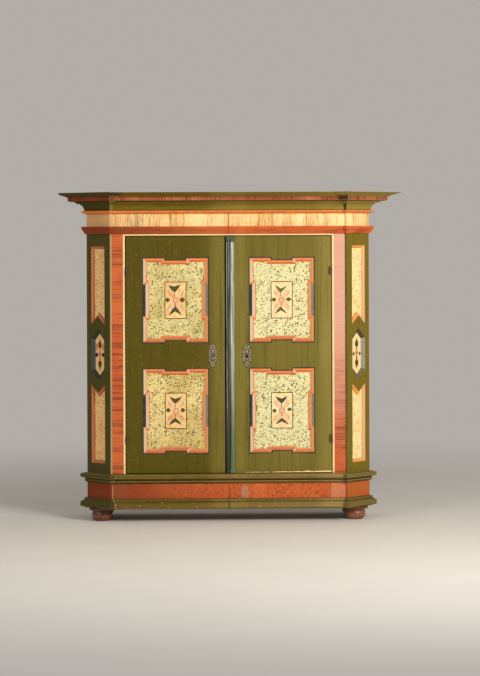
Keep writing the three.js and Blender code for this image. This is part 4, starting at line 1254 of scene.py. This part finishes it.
# A closed painted patch inside one outline, with a flat front face
def paintedPatch(name, outline, y, proud):
    return cleaned(gridMesh(name, np.stack([stood(outline, y + paintSink), stood(outline, y - proud)]), True))


def mirroredQuarter(quarter):
    q = np.asarray(quarter)
    flip = q[::-1]
    return np.concatenate([q, flip * [-1, 1], -q, flip * [1, -1], q[:1]])


# The dark line round an eared panel; at its sides it fills the whole notch between the ears. A grey
# patch over the right notch is painted reflection on the black paint.
def lineEars(side, level):
    low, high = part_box(f"{side}_{level}_panel")
    middle = middleOf(f"{side}_{level}_panel")
    right, top = (high.x - low.x) / 2 + eared["clear"], (high.z - low.z) / 2 + eared["clear"]
    ear, line, over = eared["earDepth"], eared["line"], eared["notchOver"]
    earX, earZ = right * eared["earWidthShare"], top * eared["earHeightShare"]
    inner = [
        (right - ear, 0), (right - ear, earZ), (right, earZ), (right, top), (earX, top), (earX, top - ear),
        (0, top - ear),
    ]
    outer = [
        (right + line, 0), (right + line, earZ - over), (right + line, earZ), (right + line, top + line),
        (earX - line, top + line), (earX - line, top - ear + line), (0, top - ear + line),
    ]
    first, second = evenly(paintStep, mirroredQuarter(inner), mirroredQuarter(outer))
    shift = wander(len(second), eared["wander"], panelSeed(side, level))[:, None] * np.sign(second)
    mesh = paintedBand("earLine", first + middle, second + shift + middle, frontY, eared["proud"])
    place(f"{side}_{level}_ear_line", mesh, "line", "dark_green_paint", side + "_door")
    # A grey patch over the right notch: painted reflection on the black paint
    notch = [(right - ear, -earZ), (right + over, -earZ), (right + over, earZ), (right - ear, earZ)]
    (outline,) = evenly(paintStep, notch + notch[:1])
    centre = [right - ear / 2, 0]
    inset = 1 - eared["notchIn"] / np.abs(outline - centre).max(axis=0)
    outline = (outline - centre) * inset + centre
    mesh = paintedPatch("notchSheenPaint", outline + middle, frontY, eared["notchProud"])
    place(f"{side}_{level}_notch_sheen", mesh, "notch", "grey_green_paint", side + "_door")


# A closed curve between a lozenge and an ellipse: the cosine and the sine to a power of two over roundness
def lozengeOutline(width, height, roundness=1.0):
    t = fullTurn(96)
    x, z = [np.sign(wave) * np.abs(wave) ** (2 / roundness) for wave in (np.cos(t), np.sin(t))]
    return pointsOf(width * x, height * z)


# A brush stroke with two pointed ends. Its middle line is a quadratic curve; its half width follows
# sin(pi t) to a power, and a higher bias puts the widest part nearer to the end.
def strokeOutline(start, bend, end, width, power=0.8, bias=1.0):
    t = np.linspace(0, 1, 22)
    start, bend, end = (np.asarray(p, float) for p in (start, bend, end))
    line = (1 - t)[:, None] ** 2 * start + (2 * t * (1 - t))[:, None] * bend + t[:, None] ** 2 * end
    along = np.gradient(line, axis=0)
    normal = pointsOf(-along[:, 1], along[:, 0]) / np.linalg.norm(along, axis=1)[:, None]
    half = width * np.sin(math.pi * t**bias) ** power
    left, right = line + normal * half[:, None], line - normal * half[:, None]
    return np.concatenate([right, left[::-1][1:-1]])


# A closed outline whose sides are quadratic curves between its corners. Each bow is how far the middle of
# a side leans to its left, as a share of the side's length.
def curvedOutline(points, bows):
    first = np.asarray(points, float)
    second = np.roll(first, -1, axis=0)
    side = second - first
    bend = (first + second) / 2 + pointsOf(-side[:, 1], side[:, 0]) * np.asarray(bows)[:, None]
    t = np.linspace(0, 1, 12, endpoint=False)[None, :, None]
    curve = (1 - t) ** 2 * first[:, None] + 2 * t * (1 - t) * bend[:, None] + t**2 * second[:, None]
    return curve.reshape(-1, 2)


def circle(radius, x=0, z=0, count=28):
    angle = fullTurn(count)
    return pointsOf(x + radius * np.cos(angle), z + radius * np.sin(angle))


# The ornament of each tablet, in millimetres from its middle. A tail has two tips with a notch between
# them and a stem; a diamond has a middle, a half width and a half height.
ornament = {
    "left_upper": {
        "fishTail": [(-40, 83.5), (-5, 77), (27.5, 87), (-5, 43)],
        "arrow": [(-37, -85), (-2, -62), (34, -85), (-2, -34)],
        "diamonds": [(-45, 2, 14.6, 13), (38, 2, 17, 14.5)],
        "bow": 0.1,
        "warmPetals": [0],
    },
    "left_lower": {
        "fishTail": [(-36, 80), (-3, 68), (33, 80), (-3, 41)],
        "arrow": [(-41, -81), (-3, -62), (33, -81), (-4, -39)],
        "diamonds": [(-43, 4, 14, 13), (39, 4, 13.5, 13.5)],
        "bow": 0.13,
        "warmPetals": [2, 3],
    },
    "right_upper": {
        "fishTail": [(-38, 84), (-4, 63), (29.6, 80), (-7, 39)],
        "arrow": [(-39, -79), (-4, -60), (30, -80), (-6, -37)],
        "diamonds": [(-44, 1.4, 13, 12.5), (39, 3, 16, 12)],
        "bow": 0.07,
        "warmPetals": [],
    },
    "right_lower": {
        "fishTail": [(-38, 78), (-2, 66), (31, 80), (-2, 37.5)],
        "arrow": [(-37, -80), (-2, -62.5), (37, -80), (-2, -42)],
        "diamonds": [(-43, -2.5, 12.5, 12), (42, 5, 14, 11)],
        "bow": 0.1,
        "warmPetals": [],
    },
}
# What all four tablets share. The strokes are of the petal to the upper right, which the others mirror.
flower = {
    "leaf": ((3, 6), (22, 24), (36, 64), 11),
    "outside": ((14, 8), (44, 30), (48, 72), 1.3),
    "inside": ((3, 13), (11, 38), (34, 68), 1.3),
    "vein": ((10, 12), (27, 32), (40, 62), 1.0),
    "spray": ((31, 22), (37, 40), (47, 52), 1.6),
    "stems": (((0, -13), (-2, -26), (-2, -42), 2.6), ((-2, 13), (-5, 26), (-5, 46), 2.2)),
    "dots": ((2.2, -13, 94), (2.2, -4, -92), (1.6, 24, 60), (1.5, -22, -50)),
    "rosette": 17,
    "eye": (3.4, 8),  # its radius, and how far out it lies
    "arc": ((13, 0), (17, 0.6), (13, 0.95)),  # how far out its three points lie, and their angles
    "spot": {"upper": (2.6, -12, 2), "lower": (3.6, -1, -27)},
}
corners = ((-1, 1), (1, 1), (-1, -1), (1, -1))


def shifted(mesh, x, z):
    mesh.transform(Matrix.Translation((x, 0, z)))
    return mesh


def stroke(points, corner, seed, power=0.8):
    random = np.random.default_rng(seed)
    *line, width = points
    moved = [np.asarray(p) * corner + random.normal(size=2) * 1.2 for p in line]
    return strokeOutline(*moved, width * (1 + 0.15 * random.normal()), power)


# Layers of paint that lie one over the other on a flat ground: each has a finish and some outlines in
# millimetres from a middle. The finished meshes face against Y.
def paintLayers(name, layers, x, y, z, body, turned=None):
    for i, (layer, finish, outlines) in enumerate(layers):
        if not outlines:
            continue
        parts = [paintedPatch(layer, outline * millimetre, y, layerProud * (i + 1)) for outline in outlines]
        mesh = shifted(joinedMesh(f"{name}_{layer}", parts), x, z)
        if turned is not None:
            mesh.transform(turned)
        place(f"{name}_{layer}", mesh, finish, "cream_paint", body)


def petalLayers(kind, seed):
    leaves = [stroke(flower["leaf"], corner, seed + i, 0.6) for i, corner in enumerate(corners)]
    warm = ornament[kind]["warmPetals"]
    lines = [stroke(flower[part], corner, seed + 9) for part in ("outside", "inside") for corner in corners]
    sprays = [stroke(flower[part], corner, seed + 20) for part in ("spray", "vein") for corner in corners]
    return [
        ("petals", "petal", [leaf for i, leaf in enumerate(leaves) if i not in warm]),
        ("warm_petals", "petalDeep", [leaf for i, leaf in enumerate(leaves) if i in warm]),
        ("petal_lines", "rosy", lines),
        ("sprays", "leafLine", sprays),
    ]


# A cream tablet with a dark frame, and its ornament, one painted layer over the other
def paintTablet(side, level):
    kind = f"{side}_{level}"
    (x, z), y = middleOf(kind + "_panel"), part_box(kind + "_panel")[0].y
    body, name = side + "_door", kind + "_tablet"
    seed = 20 + panelSeed(side, level)
    size = np.array([tablet["halfWidth"], tablet["halfHeight"][level]])
    (edge,) = evenly(paintStep, np.array([(1, 1), (-1, 1), (-1, -1), (1, -1), (1, 1)]) * size)
    ripple = wander(len(edge), tablet["wander"], seed)[:, None] * np.sign(edge)
    fill = paintedPatch(name, edge * 0.995, y, tablet["proud"])
    place(name, shifted(fill, x, z), "tablet" if side == "left" else "tabletPale", "cream_paint", body)
    inner = (edge + ripple * 0.6) * (1 - tablet["line"] / size)
    band = paintedBand(name + "_line", inner, edge + ripple, y, tablet["proud"] * 2)
    place(name + "_line", shifted(band, x, z), "frameLine", "dark_green_paint", body)

    own = ornament[kind]
    bow = own["bow"]
    tails = [
        curvedOutline(own["fishTail"], (0.02, 0.02, bow, bow)),
        curvedOutline(own["arrow"], (-0.02, -0.02, -bow, -bow)),
    ]
    arcs = [
        strokeOutline(*[(r * math.cos(a + t), r * math.sin(a + t)) for r, t in flower["arc"]], 1.6, 0.5)
        for a in np.arange(6) * 1.047 + seed
    ]
    eye, out = flower["eye"]
    eyes = [circle(eye, out * math.cos(a), out * math.sin(a) - 1, 14) for a in np.arange(5) * 1.257]
    paintLayers(name, petalLayers(kind, seed) + [
        ("stems", "brown", [strokeOutline(*stem) for stem in flower["stems"]]),
        ("tails", "leafPale" if kind == "right_upper" else "leaf", tails),
        ("diamonds", "diamond", [lozengeOutline(w, h, 1.25) + [cx, cz] for cx, cz, w, h in own["diamonds"]]),
        ("rosette", "rosette", [circle(flower["rosette"], 0, -1)]),
        ("eyes", "petal", eyes),
        ("arcs", "brown", arcs + [circle(*dot) for dot in flower["dots"]]),
        ("spot", "scarlet", [circle(*flower["spot"][level])]),
    ], x, y - tablet["proud"], z, body)


for side in hands:
    for level in levels:
        lineEars(side, level)
        paintTablet(side, level)
print("door panels painted")


# A patch of filler in the plinth's red band, and the foot of the right door, where the green has chipped off
# down to the cream ground in a wedge that widens to the right. Both are outlines in metres.
repairs = {
    "proud": 0.0002,
    "step": 0.004,
    "fill": {"x": (0.069, 0.108), "z": (0.133, 0.204), "ragged": 0.0009},
    "chip": {"x": (0.03, 0.5775), "rise": (0.0004, 0.0078), "ragged": 0.0008, "bump": (0.447, 0.012, 0.004)},
    "chipFoot": 0.0005,
    "chipThin": 0.0004,
}


def paintRepairs():
    own, proud = repairs["fill"], repairs["proud"]
    (x0, x1), (z0, z1) = own["x"], own["z"]
    (outline,) = evenly(repairs["step"], [(x0, z0), (x1, z0), (x1, z1), (x0, z1), (x0, z0)])
    outline = outline + wander(len(outline), own["ragged"], 61)[:, None]
    place("plinth_fill", paintedPatch("plinthFill", outline, frontY, proud), "mend", "red_paint", "carcase")
    own = repairs["chip"]
    x = np.linspace(*own["x"], 90)
    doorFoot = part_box("right_door_frame")[0].z + repairs["chipFoot"]
    middle, half, high = own["bump"]
    top = doorFoot + np.linspace(*own["rise"], len(x)) + high * np.exp(-(((x - middle) / half) ** 2))
    top = np.maximum(top + wander(len(x), own["ragged"], 62), doorFoot + repairs["chipThin"])
    outline = np.concatenate([pointsOf(x, doorFoot), pointsOf(x, top)[::-1]])
    chip = paintedPatch("doorChip", outline, frontY, proud)
    place("right_door_chip", chip, "cream", "cream_paint", "right_door")


paintRepairs()
print("repairs painted")


# Small ornament in the lozenge of each cut corner, in millimetres from its middle
lozenge = {
    "across": 0.101,  # from the pilaster's front edge to the lozenge's middle, in metres, as is the depth
    "depth": 0.015,
    "spindles": (((0, 90), (0, 60), (0, 34), 14.5), ((0, -88), (0, -60), (0, -33), 14.5)),
    "stems": (((0, 46), (1, 28), (0, 8), 5.0), ((0, -8), (0, -22), (0, -46), 6.5)),
    "cheeks": (((24, 66), (27, 46), (24, 20), 7.5), ((-24, 66), (-27, 46), (-24, 20), 7.5)),
    "darts": {"left": (13, 15), "right": (9, 12)},
    "heart": (12, 0, 3),
    "seeds": ((2.4, 2, 5), (1.8, -4, 1), (1.6, 3, -4)),
}


def paintLozenge(side):
    left = side == "left"
    sign = -1 if left else 1
    turned = Matrix.Translation((sign * noseX, noseY, 0)) @ Matrix.Rotation(sign * math.pi / 4, 4, "Z")
    upper, lower = [strokeOutline(*spindle, 0.75, 1.7) for spindle in lozenge["spindles"]]
    layers = [
        ("cheeks", "scarlet", [strokeOutline(*cheek, 0.5) for cheek in lozenge["cheeks"]] if left else []),
        ("stems", "scarlet" if left else "brown", [strokeOutline(*stem) for stem in lozenge["stems"]]),
        ("upper_spindle", "leaf", [upper]),
        ("lower_spindle", "leaf" if left else "bark", [lower]),
        ("heart", "rosy", [circle(*lozenge["heart"])]),
        (
            "darts", "line" if left else "diamond",
            [lozengeOutline(*lozenge["darts"][side], 1.1) + [out, -2] for out in (-26, 26)],
        ),
        ("seeds", "brown", [circle(*seed) for seed in lozenge["seeds"]]),
    ]
    x, y = sign * lozenge["across"], lozenge["depth"]
    paintLayers(side + "_lozenge", layers, x, y, lozengeZ, "carcase", turned)


for side in hands:
    paintLozenge(side)
print("lozenges painted")


# Chasing on the pierced plates, in millimetres from the middle: C scrolls that mirror to the four quarters,
# and beads, both paler than the plate as painted highlight, and a black ring round the keyhole, as painted
# shade
chasing = {
    "scrolls": (
        ((3, 61), (14, 52), (9, 36), 1.5),
        ((6, 35), (21, 33), (20, 12), 1.6),
        ((2, 30), (7, 20), (3, 9), 1.4),
        ((5, 50), (1, 40), (5, 33), 1.2),
        ((19, 24), (13, 8), (20, 3), 1.3),
        ((9, 8), (13, 4), (9, 0), 1.2),
    ),
    "beads": (
        (2.6, 0, 57), (2.6, 0, -57), (2.2, 0, 26), (2.4, 21, 0), (2.4, -21, 0), (1.9, 13, 45), (1.9, -13, 45),
    ),
    "proud": 0.0009,
    # a black ring round the keyhole, painted shade: how proud it stands, and its size
    "keyShadeProud": 0.0012,
    "keyhole": (2.6, 9.6),
    "keyShade": (4.3, 11.3),
    "keyRoundness": 3.4,
    "keyDrop": 0.007,
}


def chasePlates():
    for side in hands:
        (x, z), y = middleOf(side + "_escutcheon"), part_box(side + "_escutcheon")[0].y
        outlines = [
            strokeOutline(*[np.asarray(p) * corner for p in points], width)
            for *points, width in chasing["scrolls"] for corner in corners
        ]
        outlines += [circle(*bead, 14) for bead in chasing["beads"]]
        parts = [paintedPatch("chasing", outline * millimetre, y, chasing["proud"]) for outline in outlines]
        mesh = shifted(joinedMesh(side + "Chasing", parts), x, z)
        place(side + "_plate_chasing", mesh, "chased", "tinned_iron", side + "_door")
    # A black ring round the keyhole, painted shade that widens the hole's dark
    roundness = chasing["keyRoundness"]
    hole, rim = [lozengeOutline(*chasing[part], roundness) * millimetre for part in ("keyhole", "keyShade")]
    band = paintedBand("keyShade", hole, rim, y, chasing["keyShadeProud"])
    place("keyhole_shade", shifted(band, x, z - chasing["keyDrop"]), "line", "dark_iron", "right_door")


chasePlates()
driveNails()
print("plates chased, nails driven")


floor = {
    "reach": 9.0,
    "fade": (1.2, 5.5),
    "colour": (240, 232, 218),
    "cloud": (228, 220, 206),
    "wall": (178, 172, 167),
}


def layFloor():
    far = floor["reach"]
    mesh = bpy.data.meshes.new("studioFloor")
    mesh.from_pydata([(-far, -far, 0), (far, -far, 0), (far, far, 0), (-far, far, 0)], [], [(0, 1, 2, 3)])
    paint = Finish("studioFloor", floor["colour"], 0.75, 0.2)
    paint.over(floor["cloud"], paint.noise(2, 4, 0.6))
    paint.done()
    away = paint.wired("VectorMath", {0: paint.place}, "Value", operation="LENGTH")
    seen = paint.wired("LightPath", {}, "Is Camera Ray")
    clear = paint.wired("BsdfTransparent", {})
    faded = paint.times(paint.step(away, *floor["fade"]), seen)
    blend = paint.wired("MixShader", {0: faded, 1: paint.shader.outputs[0], 2: clear})
    paint.tree.links.new(blend, paint.tree.nodes["Material Output"].inputs["Surface"])
    mesh.materials.append(paint.material)
    link("studioFloor", mesh)


lamps = {
    # name: (x, y, z, width, height, watts)
    "softRight": (3.0, -4.5, 2.85, 2.2, 1.5, 238),
    "softLeft": (-3.4, -4.1, 2.85, 2.2, 1.5, 62),
}
air = {"strength": 0.32, "aimHeight": 0.95}


def hangLamps():
    for name, (x, y, z, width, height, watts) in lamps.items():
        data = bpy.data.lights.new(name, "AREA")
        data.energy = watts
        data.shape = "RECTANGLE"
        data.size = width
        data.size_y = height
        lamp = link(name, data)
        lamp.location = (x, y, z)
        aim = Vector((0, 0, air["aimHeight"])) - lamp.location
        lamp.rotation_euler = aim.to_track_quat("-Z", "Y").to_euler()
    world = bpy.data.worlds.new("studioAir")
    world.use_nodes = True
    tree = world.node_tree
    light = tree.nodes["Background"]
    light.inputs["Color"].default_value = (1, 1, 1, 1)
    light.inputs["Strength"].default_value = air["strength"]
    wall = wiredNode(tree, "Background", {"Color": tint(*floor["wall"])})
    seen = wiredNode(tree, "LightPath", {}, "Is Camera Ray")
    blend = wiredNode(tree, "MixShader", {0: seen, 1: light.outputs[0], 2: wall})
    tree.links.new(blend, tree.nodes["World Output"].inputs["Surface"])
    bpy.context.scene.world = world


layFloor()
hangLamps()
bpy.context.scene.view_settings.view_transform = "Standard"
print("studio lit")
